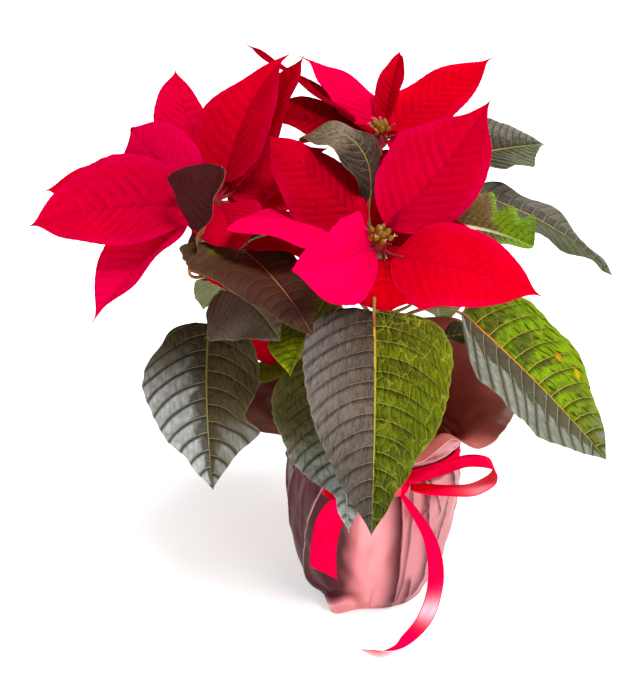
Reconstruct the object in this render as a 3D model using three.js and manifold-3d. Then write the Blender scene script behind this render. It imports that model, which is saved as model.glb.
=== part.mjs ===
// Potted poinsettia in a film wrap tied with a satin ribbon. Millimetres, degrees, +Z up, the
// origin at the centre of the flat bottom of the wrap. -Y is the front of the plant.
import * as THREE from "three";
import { mergeVertices } from "three/addons/utils/BufferGeometryUtils.js";
import Module from "manifold-3d";

const wasm = await Module();
wasm.setup();

// ---- driving sizes ----
const gap = 0.3; // clearance between pieces that touch
const bladeThickness = 0.9;
const filmThickness = 0.8;
const ribbonThickness = 0.8;
const ribbonWidth = 19;

const pot = { height: 127, baseRadius: 37, rimRadius: 61, rimHeight: 17, wall: 2.2, sides: 24 };
const soil = { top: 115, bump: 1.6, sides: 24, holeSides: 10 };
const trunk = { radius: 5, bottom: 78, top: 138, sides: 10 };
const flower = { cushion: 3.6, cup: 2.6, spread: 1.9, height: 4.6, turn: 2.4 };
const hubRadius = 6.5; // the swollen stem end that carries a bloom
const flatOfBall = 0.795; // how far out the flat sides of a ball of 20 sides are
const stalk = { radius: 1.7, tip: 1, sides: 4, sunk: 0.07 };
const shootSides = 6;
const shootSteps = 7;
const shootTaper = 0.8; // how thick a shoot still is at its hub

// Wall of the wrap from the middle of its bottom to its neck: radius, height, pleat depth, how
// much fuller it is on its left, and how far the folded corner of the film stands out.
const wrapWall = [
  { radius: 20, height: 0, pleat: 0, left: 0, corner: 0 },
  { radius: 39.5, height: 0, pleat: 0, left: 2, corner: 5 },
  { radius: 42.5, height: 3.5, pleat: 0.5, left: 3, corner: 11 },
  { radius: 48, height: 15, pleat: 1, left: 4.5, corner: 9 },
  { radius: 54, height: 31, pleat: 1.6, left: 5, corner: 3 },
  { radius: 62, height: 64, pleat: 1.8, left: 3, corner: 0 },
  { radius: 66, height: 92, pleat: 1.2, left: 1, corner: 0 },
  { radius: 65, height: 109, pleat: 0.4, left: 0, corner: 0 },
  { radius: 65, height: 127, pleat: 0.4, left: 0, corner: 0 },
];
const filmCorner = { angle: -122, spread: 17 };
// Free edge of the wrap's collar, going round: angle, radius, height.
const collarEdge = [
  { angle: -90, radius: 88, height: 141 },
  { angle: -74, radius: 91, height: 141 },
  { angle: -57, radius: 91, height: 155 },
  { angle: -40, radius: 97, height: 142 },
  { angle: -22, radius: 105, height: 153 },
  { angle: 5, radius: 107, height: 160 },
  { angle: 25, radius: 104, height: 180 },
  { angle: 44, radius: 99, height: 200 },
  { angle: 72, radius: 96, height: 195 },
  { angle: 103, radius: 96, height: 184 },
  { angle: 134, radius: 99, height: 166 },
  { angle: 160, radius: 102, height: 152 },
  { angle: 182, radius: 104, height: 147 },
  { angle: 204, radius: 104, height: 150 },
  { angle: 222, radius: 96, height: 154 },
  { angle: 246, radius: 90, height: 150 },
];
const wrapColumns = 40;
const collarRows = [0.22, 0.5, 0.76, 1];

// Shoots of the branched stem: centre-line points from the top of the trunk to the bloom's hub.
const shoots = {
  front: { radius: 3.2, points: [[0, -2, 128], [1, -14, 185], [0, -30, 245], [-2, -42, 286]] },
  left: { radius: 3.2, points: [[-2, 0, 128], [-32, 2, 182], [-84, -6, 252], [-118, -10, 311]] },
  rear: { radius: 3.2, points: [[1, 3, 128], [4, 22, 190], [5, 46, 270], [4, 60, 344]] },
  back: { radius: 3, points: [[-1, 2, 128], [-14, 38, 180], [-34, 74, 235], [-50, 98, 286]] },
  low: { radius: 2.4, points: [[-2, 1, 128], [-40, 16, 160], [-76, 24, 194], [-98, 26, 232]] },
};

// A blade is drawn on a midrib that leaves `start` at `heading` (from +X, turning left) and `rise`
// (above level), sinks by `droop` and swings by `sway` on its way to the tip. `roll` and `twist`
// turn it about the midrib, `fold` lifts both halves and `cup` bends them back down. `belly` is
// where it is widest, and a larger `slim` draws its ends in. `teeth` are lobes: side, place, size.
const bract = {
  rise: 10, droop: 18, bend: 1.3, sway: 0, length: 105, width: 60, roll: 0, twist: 0, fold: 10,
  cup: -12, wave: 1.6, waves: 2.2, phase: 0, belly: 0.38, slim: 1.55, teeth: [], rows: 6, columns: 4,
};
const leaf = {
  ...bract, droop: 26, length: 110, width: 66, fold: 12, cup: -14, wave: 2.4, waves: 2.6,
  belly: 0.36, slim: 1.3, rows: 7,
};
// Bracts and leaves at the back or inside the plant, and the small ones of the low bloom.
const plain = { rows: 4, columns: 2 };
const small = { rows: 4, columns: 2, wave: 0 };

// Blooms: the hub on its shoot, the axis that the flowers face, and the bracts round it.
const blooms = [
  {
    name: "front", shoot: "front", tiltFront: 42, tiltRight: 5, flowers: 5,
    bracts: [
      {
        start: [9, -47, 279], heading: -36, rise: 1, droop: 20, sway: 12, length: 108, roll: -48,
        fold: 6, belly: 0.35,
      },
      {
        start: [6, -38, 296], heading: 43, rise: 35, droop: -22, sway: -28, length: 118, width: 73,
        roll: -39, fold: 16, belly: 0.41,
      },
      {
        start: [-5, -48, 285], heading: -116, rise: 0, droop: -8, sway: -9, length: 107, roll: 74,
        twist: 10, fold: 15, belly: 0.41, rows: 5,
      },
      {
        start: [-17, -43, 290], heading: 201, rise: 19, droop: 24, sway: 10, length: 98, roll: 14,
        fold: 5, rows: 5,
      },
      {
        start: [-10, -34, 296], heading: 168, rise: 44, droop: 4, sway: 7, length: 92, width: 65,
        roll: 28, twist: 6, fold: -4, belly: 0.41, slim: 1.7, rows: 5,
      },
      {
        start: [2, -52, 279], heading: -72, rise: -14, droop: 14, length: 56, width: 44, roll: -6,
        ...plain,
      },
      {
        start: [8, -36, 281], heading: -6, rise: -12, droop: 16, length: 92, width: 54, roll: -24,
        ...plain,
      },
      {
        start: [-13, -37, 286], heading: 194, rise: 20, droop: 16, length: 76, width: 50, roll: 10,
        ...plain,
      },
      { start: [4, -45, 293], heading: 20, rise: 62, length: 24, width: 10, ...small },
      { start: [-7, -49, 290], heading: 220, rise: 40, length: 30, width: 14, ...small },
    ],
  },
  {
    name: "left", shoot: "left", tiltFront: 25, tiltRight: -15, flowers: 5,
    bracts: [
      {
        start: [-127, -17, 308], heading: 186, rise: 3, droop: 22, sway: -8, length: 120, width: 76,
        roll: 46, twist: 5, fold: 22, belly: 0.4, slim: 1.7,
      },
      {
        start: [-129, -1, 310], heading: 168, rise: 14, droop: 32, sway: -4, length: 124, width: 62,
        roll: 27, rows: 5,
      },
      {
        start: [-134, -18, 298], heading: 211, rise: -33, droop: 17, length: 99, width: 68, roll: 11,
        twist: 8, fold: 34, belly: 0.33, slim: 1.8, rows: 5,
      },
      {
        start: [-121, -8, 318], heading: 143, rise: 27, droop: -4, sway: -28, length: 82, width: 56,
        roll: 22, fold: 12, belly: 0.42, slim: 1.45, rows: 5,
      },
      {
        start: [-117, 4, 321], heading: 126, rise: 43, droop: 9, sway: -24, length: 112, width: 57,
        roll: -12, twist: -12, fold: 3, belly: 0.34, slim: 1.65, rows: 5,
      },
      {
        start: [-110, -2, 322], heading: 66, rise: 60, droop: 34, sway: -16, length: 122, width: 74,
        roll: 2, twist: 14, fold: 20, belly: 0.33, slim: 1.6,
      },
      {
        start: [-107, 2, 318], heading: 26, rise: 60, droop: 8, sway: -4, length: 108, width: 61,
        roll: -6, fold: 7, rows: 5,
      },
      {
        start: [-111, -20, 306], heading: -74, rise: -16, droop: 12, length: 62, width: 48, roll: -13,
        rows: 5,
      },
      {
        start: [-106, -2, 313], heading: 18, rise: 30, droop: 18, length: 80, width: 50, roll: -30,
        ...plain,
      },
      {
        start: [-118, 4, 312], heading: 92, rise: 18, droop: 30, length: 94, width: 56, roll: -4,
        ...plain,
      },
      {
        start: [-127, 2, 306], heading: 146, rise: -8, droop: 30, length: 86, width: 50, roll: 6,
        ...plain,
      },
      {
        start: [-106, -3, 308], heading: 30, rise: 6, droop: 26, length: 88, width: 54, roll: -6,
        ...plain,
      },
      { start: [-125, -17, 315], heading: 215, rise: 40, length: 26, width: 12, ...small },
    ],
  },
  {
    name: "rear", shoot: "rear", tiltFront: 22, tiltRight: 0, flowers: 4,
    bracts: [
      {
        start: [10, 55, 353], heading: 24, rise: 34, droop: 5, sway: -18, length: 98, width: 63,
        roll: -23, fold: 2, rows: 5,
      },
      {
        start: [6, 65, 354], heading: 64, rise: 58, droop: 18, sway: 10, length: 70, width: 34,
        fold: 36, rows: 5,
      },
      {
        start: [-2, 56, 353], heading: 108, rise: 42, droop: 21, sway: 56, length: 95, width: 42,
        fold: 0, belly: 0.42, rows: 5,
      },
      {
        start: [-7, 60, 348], heading: 188, rise: 20, droop: 20, sway: 10, length: 86, width: 62,
        roll: 25, fold: 11, rows: 5,
      },
      {
        start: [-4, 72, 353], heading: 167, rise: 35, droop: 7, length: 114, width: 54, roll: -4,
        fold: 4, rows: 5,
      },
      { start: [5, 69, 350], heading: 96, rise: 14, droop: 28, length: 100, width: 60, ...plain },
      { start: [12, 64, 346], heading: 50, rise: 4, droop: 26, length: 92, width: 56, roll: -6, ...plain },
      { start: [-4, 70, 345], heading: 138, rise: 0, droop: 26, length: 96, width: 58, roll: 4, ...plain },
      {
        start: [10, 54, 344], heading: -22, rise: 0, droop: 26, length: 80, width: 50, roll: -20,
        ...plain,
      },
      { start: [5, 51, 338], heading: -95, rise: -58, droop: 12, length: 52, width: 44, ...plain },
      { start: [-1, 52, 350], heading: 230, rise: 30, length: 26, width: 12, ...small },
    ],
  },
  {
    name: "back", shoot: "back", tiltFront: -30, tiltRight: -10, flowers: 4,
    bracts: [
      { start: [-57, 95, 289], heading: 200, rise: 6, droop: 26, length: 88, width: 54, ...plain },
      { start: [-44, 91, 289], heading: -44, rise: 12, droop: 20, length: 46, width: 36, ...plain },
      { start: [-42, 98, 287], heading: 8, rise: 0, droop: 26, length: 86, width: 54, roll: 8, ...plain },
      {
        start: [-47, 106, 285], heading: 62, rise: -6, droop: 28, length: 92, width: 58, roll: 8,
        ...plain,
      },
      { start: [-54, 106, 285], heading: 112, rise: -4, droop: 30, length: 96, width: 60, ...plain },
      {
        start: [-59, 101, 286], heading: 158, rise: 0, droop: 28, length: 90, width: 56, roll: -8,
        ...plain,
      },
      { start: [-57, 96, 291], heading: 170, rise: 36, length: 28, width: 12, ...small },
    ],
  },
  {
    name: "low", shoot: "low", tiltFront: 10, tiltRight: -25, flowers: 3,
    bracts: [
      { start: [-105, 24, 233], heading: 190, rise: 24, droop: 20, length: 44, width: 26, ...small },
      { start: [-103, 31, 234], heading: 140, rise: 22, droop: 20, length: 46, width: 28, ...small },
      { start: [-96, 33, 233], heading: 84, rise: 16, droop: 20, length: 44, width: 27, ...small },
      { start: [-92, 28, 233], heading: 22, rise: 20, droop: 20, length: 46, width: 27, ...small },
      { start: [-93, 21, 232], heading: -95, rise: -4, droop: 24, length: 40, width: 28, ...small },
      { start: [-101, 20, 232], heading: 238, rise: -4, droop: 22, length: 44, width: 27, ...small },
      { start: [-92, 20, 228], heading: -35, rise: -50, droop: 4, length: 46, width: 26, ...small },
    ],
  },
];

// Green leaves: the shoot and how far up it the stalk leaves, then the blade.
const leaves = [
  {
    name: "leaf_front", shoot: "front", at: 0.72, start: [-6, -88, 251], heading: -89, rise: -48,
    droop: 22, sway: -8, length: 146, width: 99, roll: 6, fold: 22, belly: 0.27, slim: 1.35,
  },
  {
    name: "leaf_front_left", shoot: "front", at: 0.34, start: [-31, -72, 209], heading: -86, rise: -37,
    droop: 24, sway: 4, length: 118, width: 90, roll: -6, fold: 8, belly: 0.24, slim: 1.5,
  },
  {
    name: "leaf_left", shoot: "left", at: 0.72, start: [-120, -35, 227], heading: -95, rise: -52,
    droop: 18, sway: 22, length: 118, width: 88, roll: -16, fold: 24, belly: 0.32, slim: 1.4,
  },
  {
    name: "leaf_right", shoot: "front", at: 0.58, start: [60, -30, 234], heading: 2, rise: -42,
    droop: 8, sway: -4, length: 160, width: 92, roll: -42, twist: -6, fold: 18, belly: 0.36,
    slim: 1.45,
  },
  {
    name: "leaf_over_left", shoot: "left", at: 0.8, start: [-94, -40, 281], heading: -60, rise: -12,
    droop: 16, sway: -4, length: 108, width: 78, roll: -18, fold: 17, belly: 0.24, slim: 1.0,
  },
  {
    name: "leaf_under_left", shoot: "left", at: 0.62, start: [-111, -22, 249], heading: -59, rise: 5,
    droop: 34, sway: -6, length: 98, width: 65, roll: -25, fold: 9, belly: 0.33, slim: 1.25, rows: 6,
  },
  {
    name: "leaf_inner_front", shoot: "front", at: 0.62, start: [-33, -44, 255], heading: -114,
    rise: -22, droop: 14, sway: 4, length: 84, width: 66, roll: -30, fold: 28, belly: 0.3, rows: 6,
  },
  {
    name: "leaf_upright_left", shoot: "left", at: 0.78, start: [-129, -61, 276], heading: -9, rise: 67,
    droop: -8, sway: 14, length: 70, width: 58, roll: -30, fold: 32, belly: 0.69, slim: 1.1,
    teeth: [[-1, 0.67, 0.4]], rows: 6,
  },
  {
    name: "leaf_arched_middle", shoot: "rear", at: 0.66, start: [-6, 0, 310], heading: 166, rise: 100,
    droop: 150, sway: -10, length: 90, width: 58, roll: 10, fold: 2, belly: 0.45, slim: 1.05, rows: 6,
  },
  {
    name: "leaf_right_upper", shoot: "rear", at: 0.84, start: [67, 60, 331], heading: 30, rise: 8,
    droop: 8, sway: -8, length: 78, width: 62, roll: -33, fold: 22, belly: 0.46, slim: 1.15, rows: 6,
  },
  {
    name: "leaf_right_middle", shoot: "rear", at: 0.66, start: [71, 28, 310], heading: 5, rise: -18,
    droop: 28, length: 132, width: 64, roll: -20, fold: 8, slim: 1.45,
  },
  {
    name: "leaf_right_lobed", shoot: "front", at: 0.84, start: [46, -12, 293], heading: -22, rise: 0,
    droop: 21, length: 66, width: 59, roll: -19, fold: 26, belly: 0.46, slim: 0.95, rows: 6,
  },
  {
    name: "leaf_right_low", shoot: "rear", at: 0.3, start: [52, 18, 200], heading: 0, rise: 12,
    droop: 24, length: 66, width: 46, rows: 6,
  },
  {
    name: "leaf_left_low", shoot: "low", at: 0.5, start: [-44, -8, 178], heading: 200, rise: 4,
    droop: 22, length: 60, width: 46, rows: 6,
  },
  {
    name: "leaf_young_middle", shoot: "back", at: 0.9, start: [-62, 44, 314], heading: 218, rise: 44,
    droop: 20, length: 30, width: 17, ...small,
  },
  {
    name: "leaf_back_right_high", shoot: "rear", at: 0.58, start: [42, 72, 260], heading: 46, rise: 2,
    droop: 44, length: 116, width: 70, rows: 5,
  },
  {
    name: "leaf_back_right_low", shoot: "rear", at: 0.4, start: [34, 66, 214], heading: 70, rise: 0,
    droop: 56, length: 116, width: 72, rows: 5,
  },
  {
    name: "leaf_back_middle", shoot: "back", at: 0.76, start: [-16, 116, 248], heading: 84, rise: -6,
    droop: 52, length: 120, width: 74, rows: 5,
  },
  {
    name: "leaf_back_left", shoot: "back", at: 0.62, start: [-80, 104, 228], heading: 132, rise: -4,
    droop: 52, length: 118, width: 72, rows: 5,
  },
  {
    name: "leaf_back_left_high", shoot: "left", at: 0.78, start: [-98, 42, 270], heading: 104, rise: 0,
    droop: 50, length: 112, width: 68, rows: 5,
  },
];

// Ribbon: hand-laid centre lines that start in the knot. `across` turns the width from +Y (0)
// towards up the strip (90), and `ends` says which ends the knot gathers.
const ribbonPaths = {
  ribbon_loop_right: {
    points: [
      [18, -72, 123], [42, -75, 131], [62, -70, 136], [80, -63, 131], [83, -61, 120],
      [68, -66, 113], [46, -74, 116], [18, -72, 118],
    ],
    across: [0, 0, 0, 0, 0, 0, 0, 0],
    ends: [true, true],
  },
  ribbon_loop_left: {
    points: [
      [10, -72, 122], [-8, -79, 127], [-23, -82, 128], [-37, -81, 125], [-38, -80, 119],
      [-24, -81, 114], [-8, -79, 116], [10, -72, 117],
    ],
    across: [0, 0, 0, 0, 0, 0, 0, 0],
    ends: [true, true],
  },
  ribbon_tail_right: {
    points: [
      [15, -73, 114], [27, -82, 99], [35, -85, 85], [40, -88, 67], [40, -92, 47],
      [33, -97, 26], [19, -102, 11], [6, -104, 5], [-13, -101, 4],
    ],
    across: [0, 10, 20, 30, 38, 42, 34, 24, 16],
    ends: [true, false],
  },
  ribbon_tail_left: {
    points: [
      [11, -73, 113], [-8, -79, 106], [-22, -76, 101], [-31, -74, 91], [-36, -73, 78],
      [-40, -74, 62], [-40, -74, 50],
    ],
    across: [20, 45, 75, 85, 85, 85, 85],
    ends: [true, false],
  },
};
const band = { height: 11, sides: 32 }; // the ribbon round the neck, drawn in by its own pull
const knot = { centre: [14, -70.6, 119], size: [17, 10.4, 20] };
const gather = { share: 0.62, reach: 11 }; // how far the knot pulls the ribbon in, and over how much

// ---- colours ----
function finish(color, roughness, metalness = 0) {
  return new THREE.MeshStandardMaterial({ color, roughness, metalness, side: THREE.DoubleSide });
}
const finishes = {
  pot: finish(0x8a4a3a, 0.6),
  soil: finish(0x2e2019, 0.95),
  stems: finish(0x5f6b2c, 0.6),
  leaf: finish(0x3e5a22, 0.45),
  bract: finish(0xd8082c, 0.45),
  flower: finish(0xb4b43a, 0.5),
  film: finish(0xc87878, 0.38, 0.25),
  ribbon: finish(0xe6003c, 0.35),
};

// ---- solids ----
function solidOf(geometry) {
  const bare = new THREE.BufferGeometry();
  bare.setAttribute("position", geometry.getAttribute("position"));
  bare.setIndex(geometry.index);
  const merged = mergeVertices(bare, 1e-4);
  const mesh = new wasm.Mesh({
    numProp: 3,
    vertProperties: merged.getAttribute("position").array,
    triVerts: new Uint32Array(merged.index.array),
  });
  return new wasm.Manifold(mesh);
}

const root = new THREE.Group();
root.name = "poinsettia";

function addNode(name, solid, material) {
  const { numProp, vertProperties, triVerts } = solid.getMesh();
  const geometry = new THREE.BufferGeometry();
  const positions = new THREE.InterleavedBuffer(new Float32Array(vertProperties), numProp);
  geometry.setAttribute("position", new THREE.InterleavedBufferAttribute(positions, 3, 0));
  geometry.setIndex(new THREE.BufferAttribute(new Uint32Array(triVerts), 1));
  const mesh = new THREE.Mesh(geometry, material);
  mesh.name = name;
  root.add(mesh);
}

const vector = (list) => new THREE.Vector3(...list);
const radians = THREE.MathUtils.degToRad;

// A closed solid from rings of points: each ring has as many points, and the two ends are capped.
function solidFromRings(rings) {
  const sides = rings[0].length;
  const points = rings.flat();
  const faces = [];
  for (let ring = 0; ring + 1 < rings.length; ring++) {
    for (let side = 0; side < sides; side++) {
      const a = ring * sides + side;
      const b = ring * sides + ((side + 1) % sides);
      faces.push(a, b, a + sides, b, b + sides, a + sides);
    }
  }
  const last = (rings.length - 1) * sides;
  for (let side = 1; side + 1 < sides; side++) {
    faces.push(0, side + 1, side);
    faces.push(last, last + side, last + side + 1);
  }
  const geometry = new THREE.BufferGeometry().setFromPoints(points);
  geometry.setIndex(faces);
  return solidOf(geometry);
}

// A round tube along a smooth curve, with a radius that changes evenly from one end to the other.
function taperedTube(curve, startRadius, endRadius, steps, sides) {
  const frames = curve.computeFrenetFrames(steps);
  const rings = [];
  for (let step = 0; step <= steps; step++) {
    const centre = curve.getPointAt(step / steps);
    const radius = THREE.MathUtils.lerp(startRadius, endRadius, step / steps);
    const ring = [];
    for (let side = 0; side < sides; side++) {
      const angle = (2 * Math.PI * side) / sides;
      ring.push(
        centre.clone()
          .addScaledVector(frames.normals[step], radius * Math.cos(angle))
          .addScaledVector(frames.binormals[step], radius * Math.sin(angle)),
      );
    }
    rings.push(ring);
  }
  return solidFromRings(rings);
}

// Two like grids of points, the far one `thickness` away, closed round their edge.
function solidFromSheets(top, bottom) {
  const rows = top.length;
  const columns = top[0].length;
  const points = [...top.flat(), ...bottom.flat()];
  const under = rows * columns;
  const faces = [];
  for (let row = 0; row + 1 < rows; row++) {
    for (let column = 0; column + 1 < columns; column++) {
      const a = row * columns + column;
      const [b, c, d] = [a + 1, a + columns, a + columns + 1];
      faces.push(a, b, d, a, d, c);
      faces.push(under + a, under + d, under + b, under + a, under + c, under + d);
    }
  }
  const edge = [];
  for (let column = 0; column + 1 < columns; column++) edge.push(column);
  for (let row = 0; row + 1 < rows; row++) edge.push(row * columns + columns - 1);
  for (let column = columns - 1; column > 0; column--) edge.push((rows - 1) * columns + column);
  for (let row = rows - 1; row > 0; row--) edge.push(row * columns);
  edge.forEach((a, place) => {
    const b = edge[(place + 1) % edge.length];
    faces.push(a, under + a, b, b, under + a, under + b);
  });
  const geometry = new THREE.BufferGeometry().setFromPoints(points);
  geometry.setIndex(faces);
  return solidOf(geometry);
}

// ---- blades ----
function bladeWidth(blade, along) {
  const early = blade.belly * blade.slim;
  const late = (1 - blade.belly) * blade.slim;
  return (along / blade.belly) ** early * ((1 - along) / (1 - blade.belly)) ** late;
}

function midribStep(blade, along) {
  const rise = radians(blade.rise - blade.droop * along ** blade.bend);
  const heading = radians(blade.heading + blade.sway * along);
  const direction = new THREE.Vector3(
    Math.cos(rise) * Math.cos(heading),
    Math.cos(rise) * Math.sin(heading),
    Math.sin(rise),
  );
  const level = new THREE.Vector3(Math.sin(heading), -Math.cos(heading), 0);
  const turn = radians(blade.roll + blade.twist * along);
  return { direction, side: level.applyAxisAngle(direction, -turn) };
}

function bladeSheets(blade) {
  const fine = 40; // steps in which the midrib is followed
  const centre = vector(blade.start);
  const fold = radians(blade.fold);
  const cup = radians(blade.cup);
  const upper = [];
  const lower = [];
  let previous = midribStep(blade, 0).direction;
  for (let step = 0; step <= fine; step++) {
    const along = step / fine;
    const { direction, side } = midribStep(blade, along);
    if (step > 0) {
      const middle = direction.clone().add(previous).multiplyScalar(0.5);
      centre.addScaledVector(middle, blade.length / fine);
    }
    previous = direction;
    const row = Math.round(along * blade.rows);
    if (Math.abs(row / blade.rows - along) > 0.5 / fine || row < upper.length) continue;
    const normal = side.clone().cross(direction);
    const share = bladeWidth(blade, THREE.MathUtils.clamp(row / blade.rows, 0.004, 0.996));
    const upperRow = [];
    const lowerRow = [];
    for (let column = 0; column <= blade.columns; column++) {
      const across = (2 * column) / blade.columns - 1;
      const hand = Math.sign(across);
      const out = Math.abs(across);
      let width = (blade.width / 2) * share;
      for (const [toothSide, place, size] of blade.teeth) {
        if (toothSide === hand) {
          width += (blade.width / 2) * size * Math.exp(-(((along - place) / 0.07) ** 2));
        }
      }
      width = Math.max(width, 0.8);
      const reach = (width * (Math.sin(fold + cup * out) - Math.sin(fold))) / cup;
      const lift = (width * (Math.cos(fold) - Math.cos(fold + cup * out))) / cup;
      const ripple = blade.wave * out ** 2 * Math.min(1, 4 * share)
        * Math.sin(2 * Math.PI * blade.waves * along + blade.phase + hand * 1.3);
      const point = centre.clone()
        .addScaledVector(side, hand * reach)
        .addScaledVector(normal, lift + ripple);
      upperRow.push(point.clone().addScaledVector(normal, bladeThickness / 2));
      lowerRow.push(point.clone().addScaledVector(normal, -bladeThickness / 2));
    }
    upper.push(upperRow);
    lower.push(lowerRow);
  }
  return [upper, lower];
}

const bladeSolid = (blade) => solidFromSheets(...bladeSheets(blade));

// A stalk from `foot` that bends to run into the first part of a blade's midrib.
function stalkSolid(foot, blade) {
  const { direction } = midribStep(blade, 0);
  const start = vector(blade.start);
  const inside = start.clone().addScaledVector(direction, stalk.sunk * blade.length);
  const reach = foot.distanceTo(start);
  const before = start.clone().addScaledVector(direction, -0.35 * reach);
  const curve = new THREE.CubicBezierCurve3(foot, foot.clone().lerp(before, 0.5), before, inside);
  return taperedTube(curve, stalk.radius, stalk.tip, reach > 20 ? 3 : 1, stalk.sides);
}

// ---- stems ----
const shootCurve = (shoot) => new THREE.CatmullRomCurve3(shoot.points.map(vector));
const hubCentre = (shoot) => vector(shoot.points.at(-1));

function makeStems() {
  const trunkCurve = new THREE.LineCurve3(
    new THREE.Vector3(0, 0, trunk.bottom),
    new THREE.Vector3(0, 0, trunk.top),
  );
  let stems = taperedTube(trunkCurve, trunk.radius, trunk.radius, 1, trunk.sides);
  for (const shoot of Object.values(shoots)) {
    const whole = shootCurve(shoot);
    const end = 1 - (flatOfBall * hubRadius + gap) / whole.getLength();
    const points = [];
    for (let step = 0; step <= shootSteps; step++) {
      points.push(whole.getPointAt((end * step) / shootSteps));
    }
    const cut = new THREE.CatmullRomCurve3(points);
    const endRadius = shoot.radius * shootTaper;
    stems = stems.add(taperedTube(cut, shoot.radius, endRadius, shootSteps, shootSides));
  }
  addNode("stems", stems, finishes.stems);
}

// Where a stalk leaves its shoot: as far from the centre line as the two round sections need.
function stalkFoot(shoot, at, towards) {
  const curve = shootCurve(shoot);
  const centre = curve.getPointAt(at);
  const tangent = curve.getTangentAt(at);
  const direction = towards.clone().sub(centre).normalize();
  const lean = Math.acos(THREE.MathUtils.clamp(direction.dot(tangent), -1, 1));
  const radius = shoot.radius * THREE.MathUtils.lerp(1, shootTaper, at);
  const clear = radius + gap + stalk.radius * Math.abs(Math.cos(lean));
  return centre.addScaledVector(direction, clear / Math.sin(lean));
}

// ---- leaves and blooms ----
function makeLeaves() {
  for (const own of leaves) {
    const blade = { ...leaf, ...own };
    const foot = stalkFoot(shoots[own.shoot], own.at, vector(own.start));
    const solid = bladeSolid(blade).add(stalkSolid(foot, blade));
    addNode(own.name, solid, finishes.leaf);
  }
}

function bloomAxis({ tiltFront, tiltRight }) {
  const front = radians(tiltFront);
  const right = radians(tiltRight);
  return new THREE.Vector3(
    Math.sin(right),
    -Math.sin(front) * Math.cos(right),
    Math.cos(front) * Math.cos(right),
  );
}

// A ball of 20 flat sides, one of them square to `facing`.
function ballGeometry(radius, facing) {
  const geometry = new THREE.IcosahedronGeometry(radius);
  const side = new THREE.Vector3(1, 1, 1).normalize();
  return geometry.applyQuaternion(new THREE.Quaternion().setFromUnitVectors(side, facing));
}

function placeBall(geometry, centre) {
  geometry.translate(centre.x, centre.y, centre.z);
  geometry.setIndex([...Array(geometry.getAttribute("position").count).keys()]);
  return solidOf(geometry);
}

// How far a shape that is still at the origin reaches along an axis.
function reachAlong(geometry, axis) {
  const positions = geometry.getAttribute("position");
  let reach = 0;
  for (let index = 0; index < positions.count; index++) {
    const point = new THREE.Vector3().fromBufferAttribute(positions, index);
    reach = Math.max(reach, point.dot(axis));
  }
  return reach;
}

function makeBloom(bloom) {
  const hub = hubCentre(shoots[bloom.shoot]);
  const axis = bloomAxis(bloom);
  const stemward = shootCurve(shoots[bloom.shoot]).getTangentAt(1).negate();
  const hubBall = ballGeometry(hubRadius, stemward);
  const seatHeight = reachAlong(hubBall, axis) + gap;
  let red = placeBall(hubBall, hub);
  for (const own of bloom.bracts) {
    const blade = { ...bract, ...own };
    red = red.add(stalkSolid(hub.clone(), blade)).add(bladeSolid(blade));
  }
  // The flowers: small round cups on a low cushion over the hub, each a golden angle on from the
  // last, so that they pack evenly.
  const across = new THREE.Vector3(1, 0, 0).addScaledVector(axis, -axis.x).normalize();
  const up = axis.clone().cross(across);
  const seat = hub.clone().addScaledVector(axis, seatHeight + flatOfBall * flower.cushion);
  let flowers = placeBall(ballGeometry(flower.cushion, axis), seat);
  for (let place = 0; place < bloom.flowers; place++) {
    const turn = place * flower.turn;
    const spread = flower.spread * Math.sqrt(place);
    const centre = seat.clone()
      .addScaledVector(across, spread * Math.cos(turn))
      .addScaledVector(up, spread * Math.sin(turn))
      .addScaledVector(axis, flower.height - 0.3 * place);
    flowers = flowers.add(placeBall(ballGeometry(flower.cup, axis), centre));
  }
  addNode("bloom_" + bloom.name + "_bracts", red, finishes.bract);
  addNode("bloom_" + bloom.name + "_flowers", flowers, finishes.flower);
}

// ---- pot and soil ----
function lathe(profile, sides) {
  const points = profile.map(([radius, height]) => new THREE.Vector2(radius, height));
  const geometry = new THREE.LatheGeometry(points, sides);
  geometry.rotateX(Math.PI / 2);
  return solidOf(geometry);
}

function potRadius(height) {
  return THREE.MathUtils.mapLinear(height, 0, pot.height, pot.baseRadius, pot.rimRadius - 1.5);
}

function makePot() {
  const foot = filmThickness + gap;
  const shoulder = pot.height - pot.rimHeight;
  const floor = foot + 3;
  const solid = lathe([
    [0, foot],
    [pot.baseRadius, foot],
    [potRadius(shoulder), shoulder],
    [pot.rimRadius, shoulder],
    [pot.rimRadius, pot.height],
    [potRadius(pot.height) - pot.wall, pot.height],
    [potRadius(floor) - pot.wall, floor],
    [0, floor],
  ], pot.sides);
  addNode("pot", solid, finishes.pot);

  const bottom = floor + gap;
  const inner = (height) => potRadius(height) - pot.wall - 2 * gap;
  const profile = [[0, bottom], [inner(bottom), bottom], [inner(soil.top), soil.top - soil.bump]];
  for (const share of [0.75, 0.5, 0.25]) {
    profile.push([inner(soil.top) * share, soil.top + soil.bump * Math.cos(7 * share)]);
  }
  profile.push([0, soil.top]);
  const holeCurve = new THREE.LineCurve3(
    new THREE.Vector3(0, 0, trunk.bottom - gap),
    new THREE.Vector3(0, 0, pot.height),
  );
  const holeRadius = trunk.radius + 2 * gap;
  const hole = taperedTube(holeCurve, holeRadius, holeRadius, 1, soil.holeSides);
  addNode("soil", lathe(profile, soil.sides).subtract(hole), finishes.soil);
}

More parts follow.
